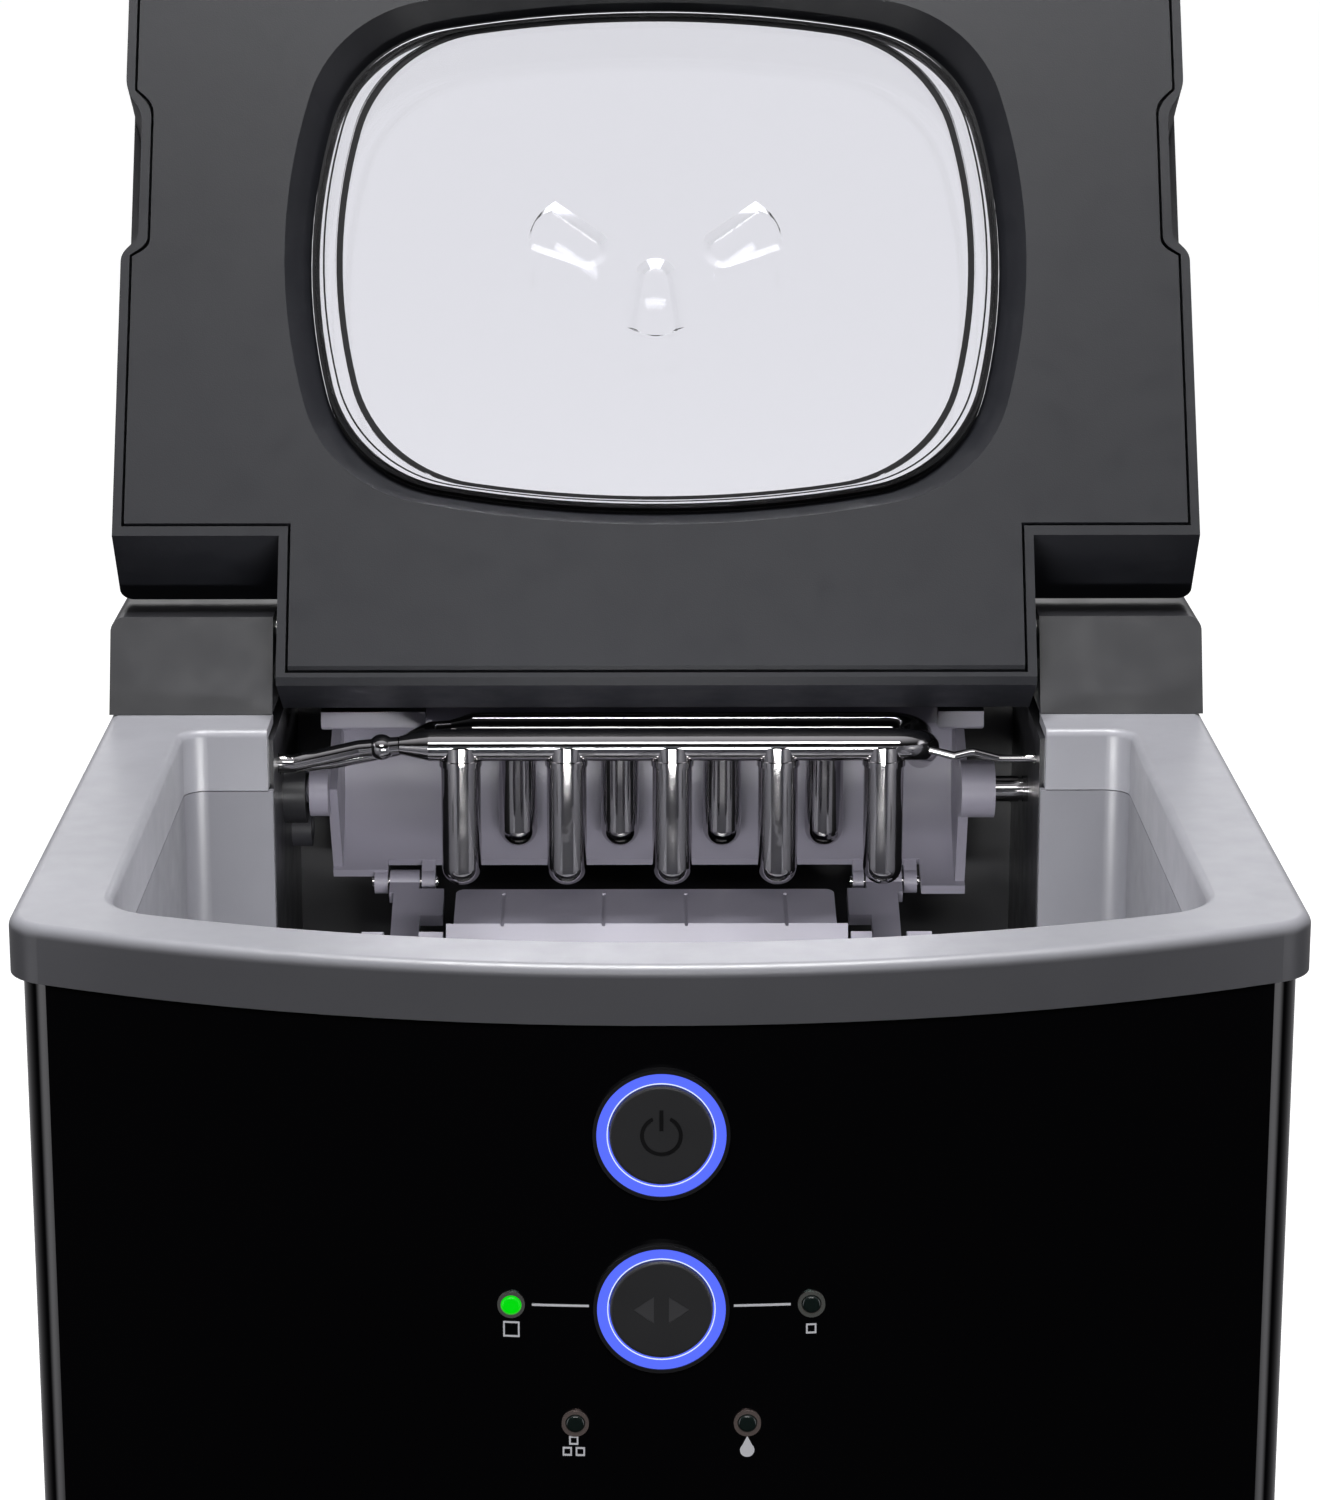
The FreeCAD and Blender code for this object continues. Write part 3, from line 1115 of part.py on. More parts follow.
def refrigerant_lines():
    x, y = COMPRESSOR_X, COMPRESSOR_Y
    discharge = tube([(x - 6, y + 26, 150.4), (x - 6, y + 26, 184.0), (20.0, y + 26, 184.0),
                      (20.0, 160.0, 184.0), (-81.5, 160.0, 184.0), (-81.5, 171.0, 184.0),
                      (-81.5, 171.0, 142.0)], 2.4, 5.0)
    suction = tube([(x - 22, y - 12, 152.4), (x - 22, y - 12, 252.0), (-80.0, y - 12, 252.0),
                    (-92.0, 84.0, 276.0), (-92.0, 75.0, 279.0)], 3.0, 6.0)
    liquid = tube([(-100.5, 69.0, 46.0), (-100.5, 66.0 + 6.5, 24.0), (0.0, 72.5, 24.0),
                   (0.0, 72.5, 158.0), (96.0, 72.5, 158.0), (96.0, 150.0, 158.0),
                   (96.0, 150.0, 161.8)], 2.2, 3.0)
    return group([discharge, suction, liquid])


# ---------------------------------------------------------------- electrics
def main_board():
    return box(-64, 44, 108, 166, 296.0, 297.6)


def board_parts():
    z = 297.6
    parts = [box(-56, -28, 116, 142, z, z + 18), box(-20, 0, 118, 134, z, z + 15),
             box(6, 26, 118, 134, z, z + 15), bar_z(z, z + 17, -14, 152, 6.5),
             box(-56, -30, 152, 160, z, z + 9), box(10, 38, 152, 160, z, z + 9),
             bar_z(z, z + 12, 36, 122, 4.0)]
    return group(parts)


def board_posts():
    """Moulded posts that hang the power board under the deck."""
    return [bar_z(297.6, DECK_TOP - SKIN + 0.2, x, y, 2.5)
            for x in (-61.0, 41.0) for y in (111.0, 163.0)]


def power_inlet():
    x = INLET_X
    body = box(x - 13.7, x + 13.7, REAR_PANEL_Y - 18, REAR_PANEL_Y + 2.6, INLET_Z0, INLET_Z1)
    flange = box(x - 17.8, x + 17.8, REAR_PANEL_Y + 2.6, REAR_PANEL_Y + 4.6,
                 INLET_Z0 - 2.1, INLET_Z1 + 2.1)
    flange = flange.makeFillet(1.0, [e for e in flange.Edges if e.BoundBox.YLength > 1.9])
    socket = join([body, flange])
    socket = socket.cut(box(x - 11, x + 11, REAR_PANEL_Y - 14, REAR_PANEL_Y + 6,
                            INLET_Z0 + 2.5, INLET_Z1 - 2.5))
    pins = []
    for dx, z in ((-7.0, 48.2), (7.0, 48.2), (0.0, 52.2)):
        pins.append(box(x + dx - 2, x + dx + 2, REAR_PANEL_Y - 15, REAR_PANEL_Y - 1, z - 1, z + 1))
    return join([socket] + pins)


def control_board():
    return box(-34, 34, BOARD_FACE_Y, BOARD_FACE_Y + 1.6, STATUS_Z - 10, POWER_Z + 14)


def board_bracket():
    z0, z1 = STATUS_Z - 12, POWER_Z + 16
    face = BOARD_FACE_Y - 1.2
    frame = box(-40, 40, face, BOARD_FACE_Y + 1.8, z0, z1)
    frame = frame.cut(box(-34.2, 34.2, face - 1, BOARD_FACE_Y + 3, z0 + 1.8, z1 - 1.8))
    arms = [box(-40, -36, face - 2.2, face, z0, z1), box(36, 40, face - 2.2, face, z0, z1)]
    return join([frame] + arms)


def tact_switches():
    pieces = []
    for z in (POWER_Z, SELECT_Z):
        pieces.append(box(-3, 3, SWITCH_TIP_Y + 0.6, BOARD_FACE_Y, z - 3, z + 3))
        pieces.append(bar_y(SWITCH_TIP_Y, SWITCH_TIP_Y + 0.6, 0, z, 1.6))
    return group(pieces)


def button_bezels():
    rings = []
    for z in (POWER_Z, SELECT_Z):
        ring = bar_y(-178.3, -171.0, 0, z, BEZEL_R).cut(bar_y(-180, -170, 0, z, RING_R))
        rings.append(ring)
    return group(rings)


def light_rings():
    rings = []
    for z in (POWER_Z, SELECT_Z):
        ring = bar_y(-178.0, -171.0, 0, z, RING_R)
        ring = ring.cut(bar_y(-180, -170, 0, z, CAP_R + 0.25))
        rings.append(ring)
    return group(rings)


def button_cap(z):
    cap = bar_y(-178.5, -173.0, 0, z, CAP_R)
    cap = cap.makeFillet(0.6, [e for e in cap.Edges if abs(e.BoundBox.YMax + 178.5) < 1e-3])
    stem = bar_y(-173.1, SWITCH_TIP_Y - 1.2, 0, z, 2.2)
    return cap.fuse(stem)


def power_button():
    z = POWER_Z
    cap = button_cap(z)
    ring = bar_y(-179, -178.25, 0, z, 3.9).cut(bar_y(-180, -177, 0, z, 3.1))
    ring = ring.cut(box(-1.5, 1.5, -180, -177, z + 1, z + 6))
    bar = box(-0.4, 0.4, -179, -178.25, z + 0.8, z + 4.9)
    return cap.cut(group([ring, bar]))


def select_button():
    z = SELECT_Z
    cap = button_cap(z)
    marks = []
    for side in (-1, 1):
        tri = [(side * 1.3, z - 2.6), (side * 1.3, z + 2.6), (side * 5.2, z)]
        marks.append(prism_y(tri, -179, -178.25))
    return cap.cut(group(marks))


def led_places():
    return [(-SIZE_LED_X, SELECT_Z), (SIZE_LED_X, SELECT_Z),
            (-STATUS_LED_X, STATUS_Z), (STATUS_LED_X, STATUS_Z)]


def led_bezels():
    rings = []
    for x, z in led_places():
        y = front_y(x)
        ring = bar_y(y - 0.7, y + 3.0, x, z, LED_BEZEL_R)
        ring = ring.cut(bar_y(y - 2, y + 4, x, z, LED_R + 0.05))
        rings.append(ring)
    return group(rings)


def led_lens(x, z):
    y = front_y(x)
    lens = bar_y(y - 0.9, y + 5.0, x, z, LED_R)
    return lens.makeFillet(0.8, [e for e in lens.Edges if abs(e.BoundBox.YMax - y + 0.9) < 1e-3])


def lit_led():
    return led_lens(*led_places()[0])


def dark_leds():
    return group([led_lens(*place) for place in led_places()[1:]])


def panel_markings():
    """Printed lines and pictograms, a thin film on the bowed front."""
    raw = []
    for side in (-1, 1):
        x0, x1 = sorted((side * 13.2, side * 23.6))
        raw.append(box(x0, x1, -190, -160, SELECT_Z - 0.2, SELECT_Z + 0.2))
    raw += cube_mark(-SIZE_LED_X, SELECT_Z - 4.9, 3.0)
    raw += cube_mark(SIZE_LED_X, SELECT_Z - 4.9, 1.9)
    z = STATUS_Z - 4.9
    for dx, dz in ((-1.5, -0.8), (0.9, -0.8), (-0.3, 1.4)):
        raw += cube_mark(-STATUS_LED_X + dx, z + dz, 1.7)
    drop = [(STATUS_LED_X - 1.3, z - 0.4), (STATUS_LED_X, z + 2.2), (STATUS_LED_X + 1.3, z - 0.4)]
    raw.append(join([prism_y(drop, -190, -160), bar_y(-190, -160, STATUS_LED_X, z - 0.6, 1.32)]))
    film_out = Part.makeCylinder(BOW_RADIUS - CASE_INSET + 0.15, 200, V(0, BOW_CENTRE_Y, 150))
    film_in = Part.makeCylinder(BOW_RADIUS - CASE_INSET, 200, V(0, BOW_CENTRE_Y, 150))
    film = film_out.cut(film_in)
    return group([s for piece in raw for s in piece.common(film).Solids])


def cube_mark(x, z, size):
    """Outlined ice cube."""
    h = size / 2.0
    t = 0.3
    outline = box(x - h, x + h, -190, -160, z - h, z + h)
    return [outline.cut(box(x - h + t, x + h - t, -191, -159, z - h + t, z + h - t))]


NODES = {
    "base_pan": base_pan,
    "rubber_feet": rubber_feet,
    "front_casing": front_casing,
    "rear_panel": rear_panel,
    "case_screws": case_screws,
    "top_collar": top_collar,
    "rear_top_cover": rear_top_cover,
    "hinge_pins": hinge_pins,
    "ice_bin_liner": ice_bin_liner,
    "evaporator_housing": evaporator_housing,
    "water_tank": water_tank,
    "insulation": insulation,
    "drain_fitting": drain_fitting,
    "drain_cap": drain_cap,
    "lid_outer_shell": lid_outer_shell,
    "lid_inner_panel": lid_inner_panel,
    "window_pane_inner": window_pane_inner,
    "window_pane_outer": window_pane_outer,
    "window_gasket": window_gasket,
    "water_tray": water_tray,
    "tray_pins": tray_pins,
    "link_arms": link_arms,
    "ice_shovel": ice_shovel,
    "ice_basket": ice_basket,
    "evaporator_bar": evaporator_bar,
    "evaporator_fingers": evaporator_fingers,
    "evaporator_inlets": evaporator_inlets,
    "capillary_tube": capillary_tube,
    "gear_motor": gear_motor,
    "water_pump": water_pump,
    "pump_filter": pump_filter,
    "pump_hose": pump_hose,
    "ice_sensors": ice_sensors,
    "level_probes": level_probes,
    "compressor": compressor,
    "compressor_mounts": compressor_mounts,
    "terminal_cover": terminal_cover,
    "condenser_fins": condenser_fins,
    "condenser_coil": condenser_coil,
    "fan_shroud": fan_shroud,
    "fan_motor": fan_motor,
    "fan_blade": fan_blade,
    "filter_drier": filter_drier,
    "hot_gas_valve": hot_gas_valve,
    "valve_coil": valve_coil,
    "refrigerant_lines": refrigerant_lines,
    "main_board": main_board,
    "board_parts": board_parts,
    "power_inlet": power_inlet,
    "control_board": control_board,
    "board_bracket": board_bracket,
    "tact_switches": tact_switches,
    "button_bezels": button_bezels,
    "light_rings": light_rings,
    "power_button": power_button,
    "select_button": select_button,
    "led_bezels": led_bezels,
    "lit_led": lit_led,
    "dark_leds": dark_leds,
    "panel_markings": panel_markings,
}

os.makedirs("parts", exist_ok=True)
for name, make in NODES.items():
    shape = make()
    shape.exportStep("parts/" + name + ".step")
    print(name, len(shape.Solids), shape.isValid(), round(shape.Volume))
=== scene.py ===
import bpy
import bmesh
import json
import math
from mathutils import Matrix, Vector


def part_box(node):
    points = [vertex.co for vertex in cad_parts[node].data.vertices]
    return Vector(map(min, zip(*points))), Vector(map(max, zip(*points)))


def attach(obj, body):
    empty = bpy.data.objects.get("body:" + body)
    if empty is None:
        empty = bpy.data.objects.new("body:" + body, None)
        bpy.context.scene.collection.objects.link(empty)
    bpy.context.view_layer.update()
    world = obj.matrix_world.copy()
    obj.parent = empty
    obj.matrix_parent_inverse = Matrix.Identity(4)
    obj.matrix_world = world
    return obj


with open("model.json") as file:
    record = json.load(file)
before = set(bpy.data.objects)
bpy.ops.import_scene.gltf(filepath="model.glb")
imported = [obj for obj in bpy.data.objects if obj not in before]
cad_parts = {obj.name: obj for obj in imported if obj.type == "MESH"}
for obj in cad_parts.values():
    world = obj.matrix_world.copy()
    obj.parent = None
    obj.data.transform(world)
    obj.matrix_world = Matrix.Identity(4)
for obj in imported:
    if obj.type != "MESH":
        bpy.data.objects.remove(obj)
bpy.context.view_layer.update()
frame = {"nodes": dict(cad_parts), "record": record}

# Countertop ice maker: finishes, fine visible pieces, studio light and camera.
# Metres, in the CAD frame: +Z up, -Y towards the bowed front, +X right.

NODES = frame["nodes"]
RECORD = frame["record"]

MM = 0.001
IMAGE_LONG_SIDE = 36.0
CAMERA_LENS = 98.5
CAMERA_PLACE = (-0.0041, -0.875, 0.5273)
CAMERA_PITCH = 14.5
CAMERA_YAW = 0.316

# What the glossy finishes reflect: a bright wall to each side of the front, a dim
# rear, a soft ceiling, and near darkness elsewhere. Limits are parts of a unit direction.
WALL_START = 0.79
WALL_FULL = 0.90
WALL_BACK = 0.02
WALL_FRONT = -0.30
WALL_LIGHT = 1.5
CEILING_LIGHT = 0.65
CEILING_START = 0.25
BACK_LIGHT = 0.3
BACK_FULL = 0.9
DARK_LIGHT = 0.012
STUDIO_TINT = (0.97, 0.96, 1.0, 1.0)
FLOOR_HALF = 30.0
BACKDROP_RADIUS = 29.0
STAGE_GLOW = 0.98

# Soft boxes: name, place, width and height, watts, and whether reflections show it.
LIGHT_AIM = (0.0, -0.02, 0.25)
SOFT_BOXES = (
    ("top_box", (0.0, -0.05, 1.5), (0.6, 0.45), 25.0, True),
    ("left_box", (-1.15, -0.05, 0.5), (0.6, 1.2), 0.6, False),
    ("right_box", (1.15, -0.05, 0.5), (0.6, 1.2), 0.6, False),
    ("front_box", (0.0, -1.5, 1.1), (0.9, 0.35), 6.0, True),
    ("back_box", (0.0, 1.3, 0.9), (1.2, 0.8), 3.0, True),
)

# Small soft box inside the front of the ice bin, aimed back at the tray: its width as a
# part of the bin's, then how far it stands behind the bin's front and below its rim.
BOUNCE_WIDTH = 0.55
BOUNCE_HEIGHT = 0.012
BOUNCE_POWER = 0.34
BOUNCE_INSET = 0.016
BOUNCE_DROP = 0.029
BOUNCE_AIM_RISE = 0.02

# Key marks in millimetres from the middle of the cap.
ENGRAVING_DEPTH = 0.25
INLAY_THICKNESS = 0.1
POWER_RING_INNER = 3.15
POWER_RING_OUTER = 3.85
POWER_GAP = 26.0
POWER_STEPS = 36
POWER_BAR_HALF = 0.35
POWER_BAR_FOOT = 0.85
POWER_BAR_TOP = 4.85
ARROW_BASE = 1.35
ARROW_TIP = 5.1
ARROW_HALF = 2.5

# Section of the glow line: out from the cap's edge, and forward of the light ring.
GLOW_INNER = 0.27
GLOW_CREST = 0.35
GLOW_OUTER = 0.46
GLOW_ROOT = -0.2
GLOW_SHOULDER = 0.08
GLOW_HEIGHT = 0.16


# ---------------------------------------------------------------- materials
class Shader:
    """A Principled material with short helpers for procedural detail."""

    def __init__(self, name, colour, rough, metallic=0.0):
        self.mat = bpy.data.materials.new(name)
        self.mat.use_nodes = True
        self.tree = self.mat.node_tree
        self.bsdf = self.tree.nodes["Principled BSDF"]
        self.place = self.node("ShaderNodeTexCoord").outputs["Object"]
        self.set("Base Color", (*colour, 1.0))
        self.set("Roughness", rough)
        self.set("Metallic", metallic)
        self.colour = colour
        self.rough = rough

    def node(self, kind, **values):
        made = self.tree.nodes.new(kind)
        for key, value in values.items():
            setattr(made, key, value)
        return made

    def set(self, socket, value):
        self.bsdf.inputs[socket].default_value = value
        return self

    def link(self, out, into):
        self.tree.links.new(out, into)

    def noise(self, scale, detail=3.0, stretch=None):
        place = self.place
        if stretch:
            mapping = self.node("ShaderNodeMapping")
            mapping.inputs["Scale"].default_value = stretch
            self.link(place, mapping.inputs["Vector"])
            place = mapping.outputs["Vector"]
        made = self.node("ShaderNodeTexNoise")
        made.inputs["Scale"].default_value = scale
        made.inputs["Detail"].default_value = detail
        self.link(place, made.inputs["Vector"])
        return made.outputs["Fac"]

    def spread(self, fac, low, high, start=0.3, stop=0.7):
        made = self.node("ShaderNodeMapRange")
        made.inputs["From Min"].default_value = start
        made.inputs["From Max"].default_value = stop
        made.inputs["To Min"].default_value = low
        made.inputs["To Max"].default_value = high
        self.link(fac, made.inputs["Value"])
        return made.outputs["Result"]

    def vary_colour(self, scale, amount, stretch=None):
        """Slow mottling either side of the base colour."""
        mix = self.node("ShaderNodeMix", data_type="RGBA")
        mix.inputs["A"].default_value = (*[c * (1 - amount) for c in self.colour], 1)
        mix.inputs["B"].default_value = (*[min(1.0, c * (1 + amount)) for c in self.colour], 1)
        self.link(self.spread(self.noise(scale, stretch=stretch), 0, 1), mix.inputs["Factor"])
        self.link(mix.outputs["Result"], self.bsdf.inputs["Base Color"])
        return self

    def vary_rough(self, scale, amount, stretch=None):
        out = self.spread(self.noise(scale, stretch=stretch), self.rough - amount,
                          self.rough + amount)
        self.link(out, self.bsdf.inputs["Roughness"])
        return self

    def bump(self, scale, height, detail=2.0, stretch=None):
        made = self.node("ShaderNodeBump")
        made.inputs["Strength"].default_value = 1.0
        made.inputs["Distance"].default_value = height
        self.link(self.noise(scale, detail, stretch), made.inputs["Height"])
        if self.bsdf.inputs["Normal"].is_linked:
            earlier = self.bsdf.inputs["Normal"].links[0].from_socket
            self.link(earlier, made.inputs["Normal"])
        self.link(made.outputs["Normal"], self.bsdf.inputs["Normal"])
        return self

    def glow(self, colour, strength):
        self.set("Emission Color", (*colour, 1.0))
        return self.set("Emission Strength", strength)


def gloss_plastic(name, colour, rough=0.06):
    shade = Shader(name, colour, rough)
    shade.set("Coat Weight", 0.35).set("Coat Roughness", 0.03).set("Specular IOR Level", 0.5)
    return shade.vary_rough(45, 0.02).vary_colour(14, 0.12).bump(55, 0.00002, 1.0)


def satin_plastic(name, colour, rough=0.42):
    """Moulded plastic with a fine spark-eroded grain."""
    shade = Shader(name, colour, rough)
    return shade.vary_colour(22, 0.05).vary_rough(130, 0.05).bump(4200, 0.00001, 1.0)


def matte_plastic(name, colour, rough=0.6):
    shade = Shader(name, colour, rough).set("Specular IOR Level", 0.35)
    return shade.vary_colour(18, 0.07).vary_rough(160, 0.06).bump(3400, 0.000016, 1.0)


def rubber(name, colour):
    shade = Shader(name, colour, 0.82).set("Specular IOR Level", 0.3)
    return shade.vary_colour(60, 0.15).bump(1500, 0.00003)


def plated(name, colour, rough=0.07):
    """Bright nickel over drawn tube: faint draw lines and slight unevenness."""
    shade = Shader(name, colour, rough, 1.0)
    shade.vary_rough(90, 0.035).vary_colour(120, 0.05)
    return shade.bump(130, 0.00005, 2.0).bump(900, 0.000004, 1.0, (1.0, 1.0, 0.08))


def bare_metal(name, colour, rough=0.32, stretch=(1.0, 1.0, 0.05)):
    shade = Shader(name, colour, rough, 1.0)
    return shade.vary_rough(500, 0.08, stretch).vary_colour(40, 0.08).bump(1600, 0.000006, 1.0, stretch)


def clear_plastic(name, tint):
    """Injection-moulded clear window with a hint of flow and haze."""
    shade = Shader(name, tint, 0.02)
    shade.set("Transmission Weight", 1.0).set("IOR", 1.46)
    return shade.vary_rough(30, 0.008).bump(24, 0.00001, 1.0)


def foam(name, colour):
    return Shader(name, colour, 0.95).vary_colour(40, 0.1).bump(900, 0.0002)


def circuit_board(name, colour):
    shade = Shader(name, colour, 0.35).set("Coat Weight", 0.3)
    return shade.vary_colour(380, 0.35, (1.0, 0.12, 1.0)).bump(700, 0.00002)


def lit(name, colour, glow, strength):
    """Back-lit moulding, a little brighter in patches where the diodes sit."""
    shade = Shader(name, colour, 0.35).glow(glow, strength)
    return shade.vary_colour(90, 0.1).vary_rough(300, 0.05).bump(2500, 0.00001)


MAKERS = {
    "casing_black": lambda n: gloss_plastic(n, (0.0035, 0.0033, 0.0045)),
    "collar_grey": lambda n: satin_plastic(n, (0.25, 0.25, 0.275), 0.36),
    "cover_charcoal": lambda n: satin_plastic(n, (0.018, 0.018, 0.021), 0.4),
    "lid_charcoal": lambda n: matte_plastic(n, (0.0085, 0.009, 0.012), 0.5),
    "bin_grey": lambda n: satin_plastic(n, (0.17, 0.17, 0.19), 0.36),
    "housing_black": lambda n: satin_plastic(n, (0.014, 0.014, 0.016), 0.35),
    "tray_grey": lambda n: satin_plastic(n, (0.215, 0.205, 0.25), 0.38),
    "clear_plastic": lambda n: clear_plastic(n, (0.855, 0.855, 0.885)),
    "gasket_black": lambda n: rubber(n, (0.006, 0.006, 0.007)),
    "foot_rubber": lambda n: rubber(n, (0.016, 0.016, 0.016)),
    "foam": lambda n: foam(n, (0.7, 0.69, 0.64)),
    "basket_grey": lambda n: satin_plastic(n, (0.22, 0.22, 0.24), 0.4),
    "nickel": lambda n: plated(n, (0.48, 0.47, 0.475)),
    "steel": lambda n: bare_metal(n, (0.56, 0.56, 0.55)),
    "compressor_paint": lambda n: gloss_plastic(n, (0.012, 0.012, 0.013), 0.2),
    "copper_pipe": lambda n: bare_metal(n, (0.78, 0.40, 0.26), 0.25),
    "brass": lambda n: bare_metal(n, (0.75, 0.58, 0.28), 0.25),
    "fin_aluminium": lambda n: bare_metal(n, (0.72, 0.73, 0.74), 0.35),
    "base_plastic": lambda n: matte_plastic(n, (0.017, 0.017, 0.019), 0.55),
    "board_green": lambda n: circuit_board(n, (0.02, 0.14, 0.06)),
    "component_black": lambda n: matte_plastic(n, (0.025, 0.025, 0.03), 0.5),
    "motor_white": lambda n: satin_plastic(n, (0.66, 0.66, 0.62), 0.45),
    "fan_plastic": lambda n: satin_plastic(n, (0.04, 0.04, 0.045), 0.45),
    "button_cap": lambda n: satin_plastic(n, (0.085, 0.085, 0.09), 0.42),
    "ring_blue": lambda n: lit(n, (0.05, 0.08, 0.4), (0.10, 0.155, 1.0), 0.95),
    "bezel_dark": lambda n: gloss_plastic(n, (0.045, 0.045, 0.05), 0.16),
    "led_green": lambda n: lit(n, (0.0, 0.25, 0.02), (0.0, 0.68, 0.0), 0.95),
    "led_dark": lambda n: gloss_plastic(n, (0.02, 0.035, 0.032), 0.1),
    # The white print also glows: a painted highlight on print that is no lamp.
    "print_white": lambda n: matte_plastic(n, (0.62, 0.62, 0.65), 0.5).glow((0.6, 0.6, 0.64), 0.45),
}


def dress(obj, mat):
    obj.data.materials.clear()
    obj.data.materials.append(mat)


def dress_nodes():
    made = {slot: make(slot).mat for slot, make in MAKERS.items()}
    for entry in RECORD["subparts"]:
        dress(NODES[entry["node"]], made[entry["material_slot"]])
    return made


MATS = dress_nodes()


# ---------------------------------------------------------------- mesh helpers
def new_piece(name, bm, slot, body, smooth=True):
    mesh = bpy.data.meshes.new(name)
    bmesh.ops.recalc_face_normals(bm, faces=bm.faces)
    bm.to_mesh(mesh)
    bm.free()
    if smooth:
        mesh.shade_smooth()
    piece = bpy.data.objects.new(name, mesh)
    bpy.context.scene.collection.objects.link(piece)
    mesh.materials.append(MATS[slot])
    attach(piece, body)
    return piece


def lathe_y(bm, profile, x, z, steps=96):
    """Closed ring profile (radius, y) turned about an axis parallel to Y."""
    loops = []
    for k in range(steps):
        a = 2 * math.pi * k / steps
        loops.append([bm.verts.new((x + r * math.cos(a), y, z + r * math.sin(a)))
                      for r, y in profile])
    for k in range(steps):
        here, there = loops[k], loops[(k + 1) % steps]
        for i in range(len(profile)):
            j = (i + 1) % len(profile)
            bm.faces.new((here[i], there[i], there[j], here[j]))


# ---------------------------------------------------------------- small pieces
def glow_lines():
    """Bright inner edge of each light ring, a fine half-round bead."""
    ring_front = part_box("light_rings")[0].y
    for button in ("power_button", "select_button"):
        low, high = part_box(button)
        z = (low.z + high.z) / 2
        cap = (high.x - low.x) / 2
        bm = bmesh.new()
        section = [(GLOW_INNER, GLOW_ROOT), (GLOW_INNER, GLOW_SHOULDER), (GLOW_CREST, GLOW_HEIGHT),
                   (GLOW_OUTER, GLOW_SHOULDER), (GLOW_OUTER, GLOW_ROOT)]
        profile = [(cap + out * MM, ring_front - forward * MM) for out, forward in section]
        lathe_y(bm, profile, (low.x + high.x) / 2, z)
        piece = new_piece("glow_line_" + button.split("_")[0], bm, "ring_blue", "chassis")
        dress(piece, MATS["glow_white"])


def inlay(name, outline_faces, button, tone):
    """Thin colour fill lying in a cap's engraving."""
    low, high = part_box(button)
    z = (low.z + high.z) / 2
    floor_y = low.y + ENGRAVING_DEPTH * MM
    face_y = floor_y - INLAY_THICKNESS * MM
    bm = bmesh.new()
    for face in outline_faces:
        back = [bm.verts.new((x * MM, floor_y, z + dz * MM)) for x, dz in face]
        front = [bm.verts.new((x * MM, face_y, z + dz * MM)) for x, dz in face]
        bm.faces.new(back)
        bm.faces.new(front[::-1])
        for i in range(len(face)):
            j = (i + 1) % len(face)
            bm.faces.new((back[i], back[j], front[j], front[i]))
    piece = new_piece(name, bm, "button_cap", button.replace("button", "key"), smooth=False)
    dress(piece, MATS[tone])


def power_mark():
    """Open ring and bar of the standby symbol."""
    sweep = 360 - 2 * POWER_GAP
    angles = [math.radians(90 + POWER_GAP + sweep * k / POWER_STEPS) for k in range(POWER_STEPS + 1)]
    faces = []
    for a, b in zip(angles, angles[1:]):
        corners = ((POWER_RING_INNER, a), (POWER_RING_OUTER, a),
                   (POWER_RING_OUTER, b), (POWER_RING_INNER, b))
        faces.append([(r * math.cos(t), r * math.sin(t)) for r, t in corners])
    faces.append([(-POWER_BAR_HALF, POWER_BAR_FOOT), (POWER_BAR_HALF, POWER_BAR_FOOT),
                  (POWER_BAR_HALF, POWER_BAR_TOP), (-POWER_BAR_HALF, POWER_BAR_TOP)])
    inlay("power_mark", faces, "power_button", "mark_dark")


def select_mark():
    """Two arrowheads pointing at the size lamps."""
    faces = [[(side * ARROW_BASE, -ARROW_HALF), (side * ARROW_BASE, ARROW_HALF),
              (side * ARROW_TIP, 0.0)] for side in (-1, 1)]
    inlay("select_mark", faces, "select_button", "mark_pale")


def lamp_bezel():
    """Plated lamp surrounds: teal by the size lamps, copper brown by the status lamps, with a faint
    painted glow that brightens the rings.
    """
    low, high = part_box("led_bezels")
    shade = Shader("lamp_bezel", (0.4, 0.4, 0.4), 0.2, 0.8)
    split = shade.node("ShaderNodeSeparateXYZ")
    shade.link(shade.place, split.inputs["Vector"])
    mix = shade.node("ShaderNodeMix", data_type="RGBA")
    mix.inputs["A"].default_value = (0.50, 0.36, 0.33, 1.0)
    mix.inputs["B"].default_value = (0.28, 0.42, 0.38, 1.0)
    middle = (low.z + high.z) / 2
    upper = shade.spread(split.outputs["Z"], 0.0, 1.0, middle - MM, middle + MM)
    shade.link(upper, mix.inputs["Factor"])
    shade.link(mix.outputs["Result"], shade.bsdf.inputs["Base Color"])
    # The glow is a painted highlight: the rings are no lamps, and the emission only lifts their
    # brightness.
    return shade.vary_rough(900, 0.05).glow((0.55, 0.47, 0.45), 0.07).mat


MATS["glow_white"] = lit("glow_white", (0.5, 0.55, 0.8), (0.72, 0.80, 1.0), 1.0).mat
dress(NODES["led_bezels"], lamp_bezel())
MATS["mark_dark"] = satin_plastic("mark_dark", (0.009, 0.009, 0.01), 0.5).mat
MATS["mark_pale"] = satin_plastic("mark_pale", (0.16, 0.16, 0.17), 0.5).mat
glow_lines()
power_mark()
select_mark()


# ---------------------------------------------------------------- floor, light
def stage_piece(name, bm, mat):
    """Evenly glowing surface that neither lights the object nor shows in its gloss."""
    mesh = bpy.data.meshes.new(name)
    bm.to_mesh(mesh)
    bm.free()
    mesh.materials.append(mat)
    piece = bpy.data.objects.new(name, mesh)
    bpy.context.scene.collection.objects.link(piece)
    piece.visible_glossy = False
    piece.visible_diffuse = False
    return piece


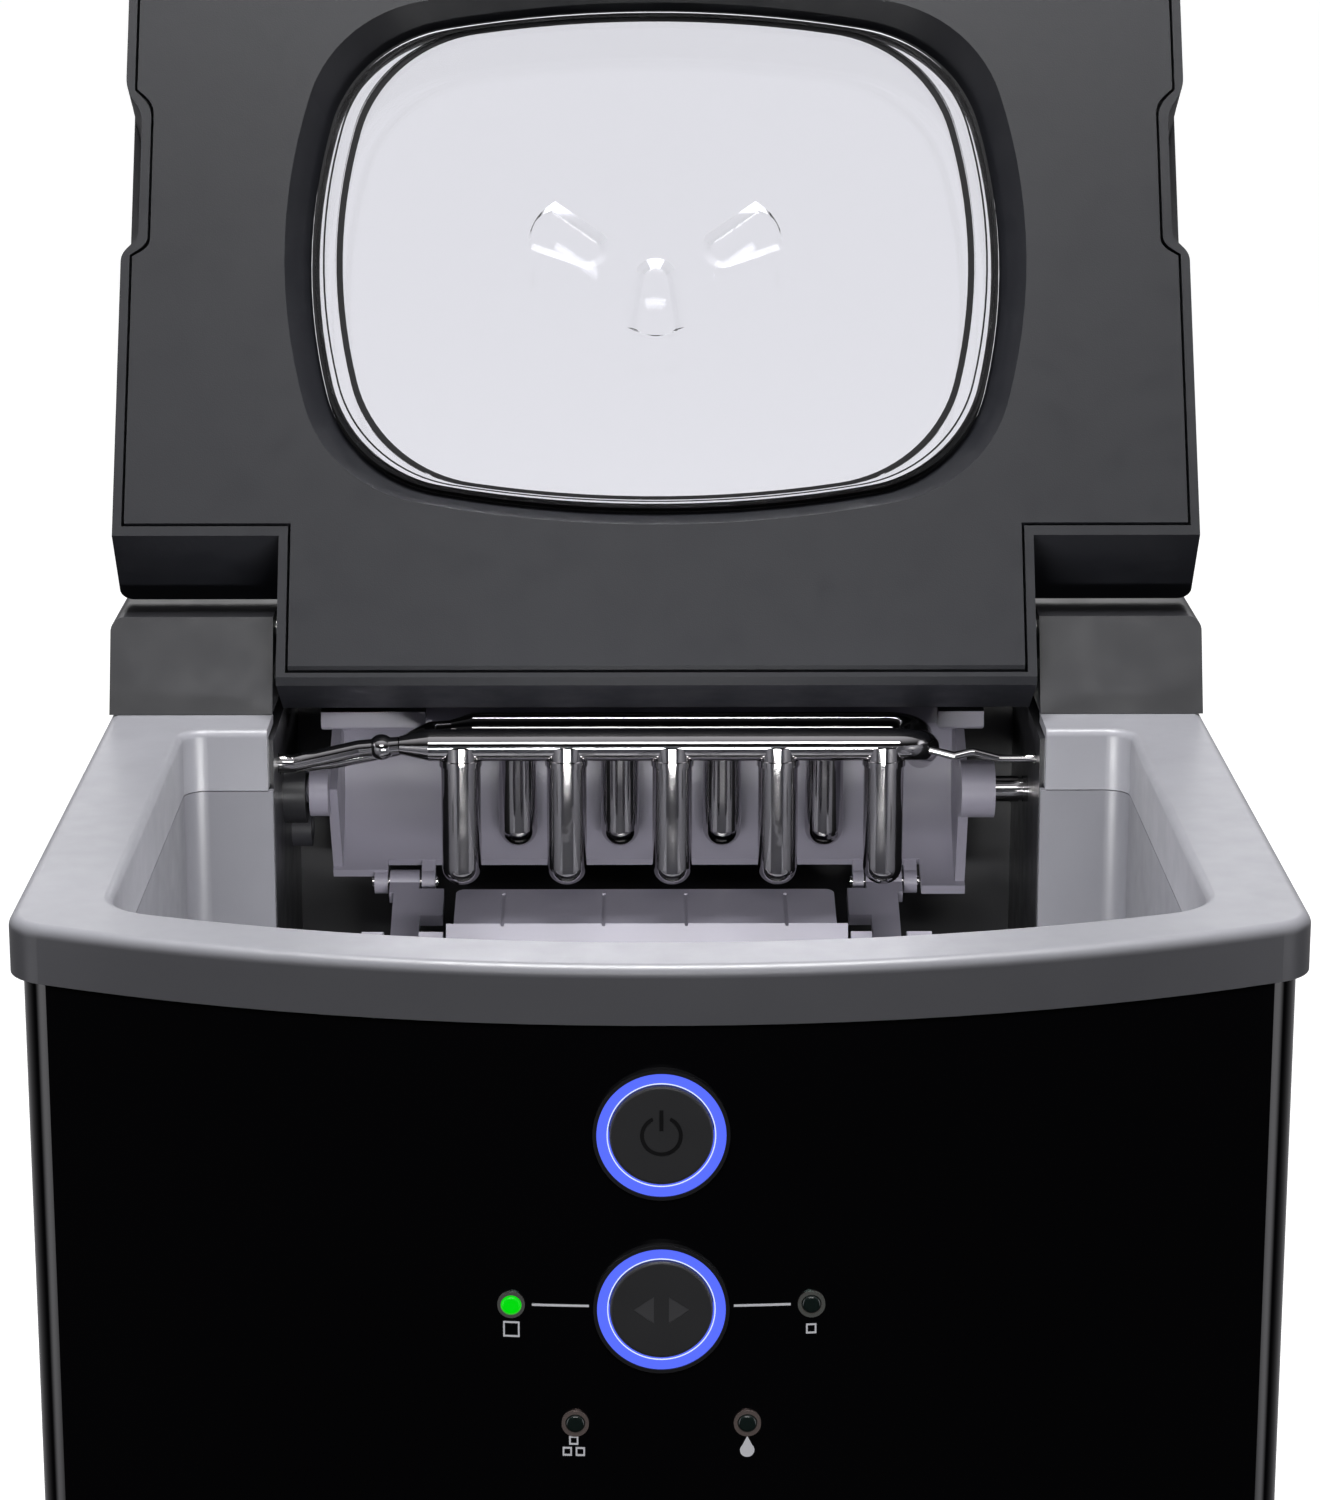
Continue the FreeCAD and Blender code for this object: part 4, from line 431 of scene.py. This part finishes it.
def floor_and_backdrop():
    shade = Shader("studio_floor", (0.3, 0.3, 0.3), 0.9).glow((1.0, 1.0, 1.0), STAGE_GLOW)
    mat = shade.vary_colour(2, 0.01).mat
    bm = bmesh.new()
    bmesh.ops.create_grid(bm, x_segments=1, y_segments=1, size=FLOOR_HALF)
    stage_piece("studio_floor", bm, mat)
    bm = bmesh.new()
    bmesh.ops.create_uvsphere(bm, u_segments=48, v_segments=24, radius=BACKDROP_RADIUS)
    stage_piece("studio_backdrop", bm, mat).visible_shadow = False


def studio_world():
    world = bpy.data.worlds.new("studio")
    bpy.context.scene.world = world
    world.use_nodes = True
    tree = world.node_tree
    back = tree.nodes["Background"]
    coord = tree.nodes.new("ShaderNodeTexCoord")
    split = tree.nodes.new("ShaderNodeSeparateXYZ")
    tree.links.new(coord.outputs["Generated"], split.inputs["Vector"])
    sideways = math_node(tree, "ABSOLUTE", split.outputs["X"])
    walls = map_range(tree, sideways, WALL_START, WALL_FULL, 0.0, WALL_LIGHT)
    ahead = map_range(tree, split.outputs["Y"], WALL_FRONT, WALL_BACK, 1.0, 0.0)
    walls = math_node(tree, "MULTIPLY", walls, ahead)
    ceiling = map_range(tree, split.outputs["Z"], CEILING_START, 1.0, DARK_LIGHT, CEILING_LIGHT)
    behind = map_range(tree, split.outputs["Y"], 0.0, BACK_FULL, 0.0, BACK_LIGHT)
    total = math_node(tree, "MAXIMUM", walls, ceiling)
    total = math_node(tree, "MAXIMUM", total, behind)
    tree.links.new(total, back.inputs["Strength"])
    back.inputs["Color"].default_value = STUDIO_TINT
    world.cycles_visibility.diffuse = False


def math_node(tree, operation, *inputs):
    made = tree.nodes.new("ShaderNodeMath")
    made.operation = operation
    for socket, source in zip(made.inputs, inputs):
        tree.links.new(source, socket)
    return made.outputs[0]


def map_range(tree, source, start, stop, low, high):
    made = tree.nodes.new("ShaderNodeMapRange")
    made.interpolation_type = "SMOOTHSTEP"
    for name, value in (("From Min", start), ("From Max", stop), ("To Min", low), ("To Max", high)):
        made.inputs[name].default_value = value
    tree.links.new(source, made.inputs["Value"])
    return made.outputs["Result"]


def soft_box(name, place, aim, size, power):
    data = bpy.data.lights.new(name, "AREA")
    data.shape = "RECTANGLE"
    data.size, data.size_y = size
    data.energy = power
    lamp = bpy.data.objects.new(name, data)
    bpy.context.scene.collection.objects.link(lamp)
    lamp.location = place
    lamp.rotation_mode = "QUATERNION"
    lamp.rotation_quaternion = (Vector(aim) - Vector(place)).to_track_quat("-Z", "Y")
    return lamp


def lights():
    for name, place, size, power, reflected in SOFT_BOXES:
        soft_box(name, place, LIGHT_AIM, size, power).visible_glossy = reflected
    low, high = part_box("ice_bin_liner")
    wide = (high.x - low.x) * BOUNCE_WIDTH
    place = (0.0, low.y + BOUNCE_INSET, high.z - BOUNCE_DROP)
    tray_low, tray_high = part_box("water_tray")
    aim = (0.0, tray_high.y, tray_low.z + BOUNCE_AIM_RISE)
    bounce = soft_box("bin_bounce", place, aim, (wide, BOUNCE_HEIGHT), BOUNCE_POWER)
    bounce.visible_camera = False


def camera():
    data = bpy.data.cameras.new("camera")
    data.sensor_fit = "AUTO"
    data.sensor_width = IMAGE_LONG_SIDE
    data.lens = CAMERA_LENS
    data.clip_start = 0.05
    cam = bpy.data.objects.new("camera", data)
    bpy.context.scene.collection.objects.link(cam)
    cam.location = CAMERA_PLACE
    cam.rotation_euler = (math.radians(90 - CAMERA_PITCH), 0, math.radians(-CAMERA_YAW))
    bpy.context.scene.camera = cam


bpy.context.scene.view_settings.view_transform = "Standard"
floor_and_backdrop()
studio_world()
lights()
camera()
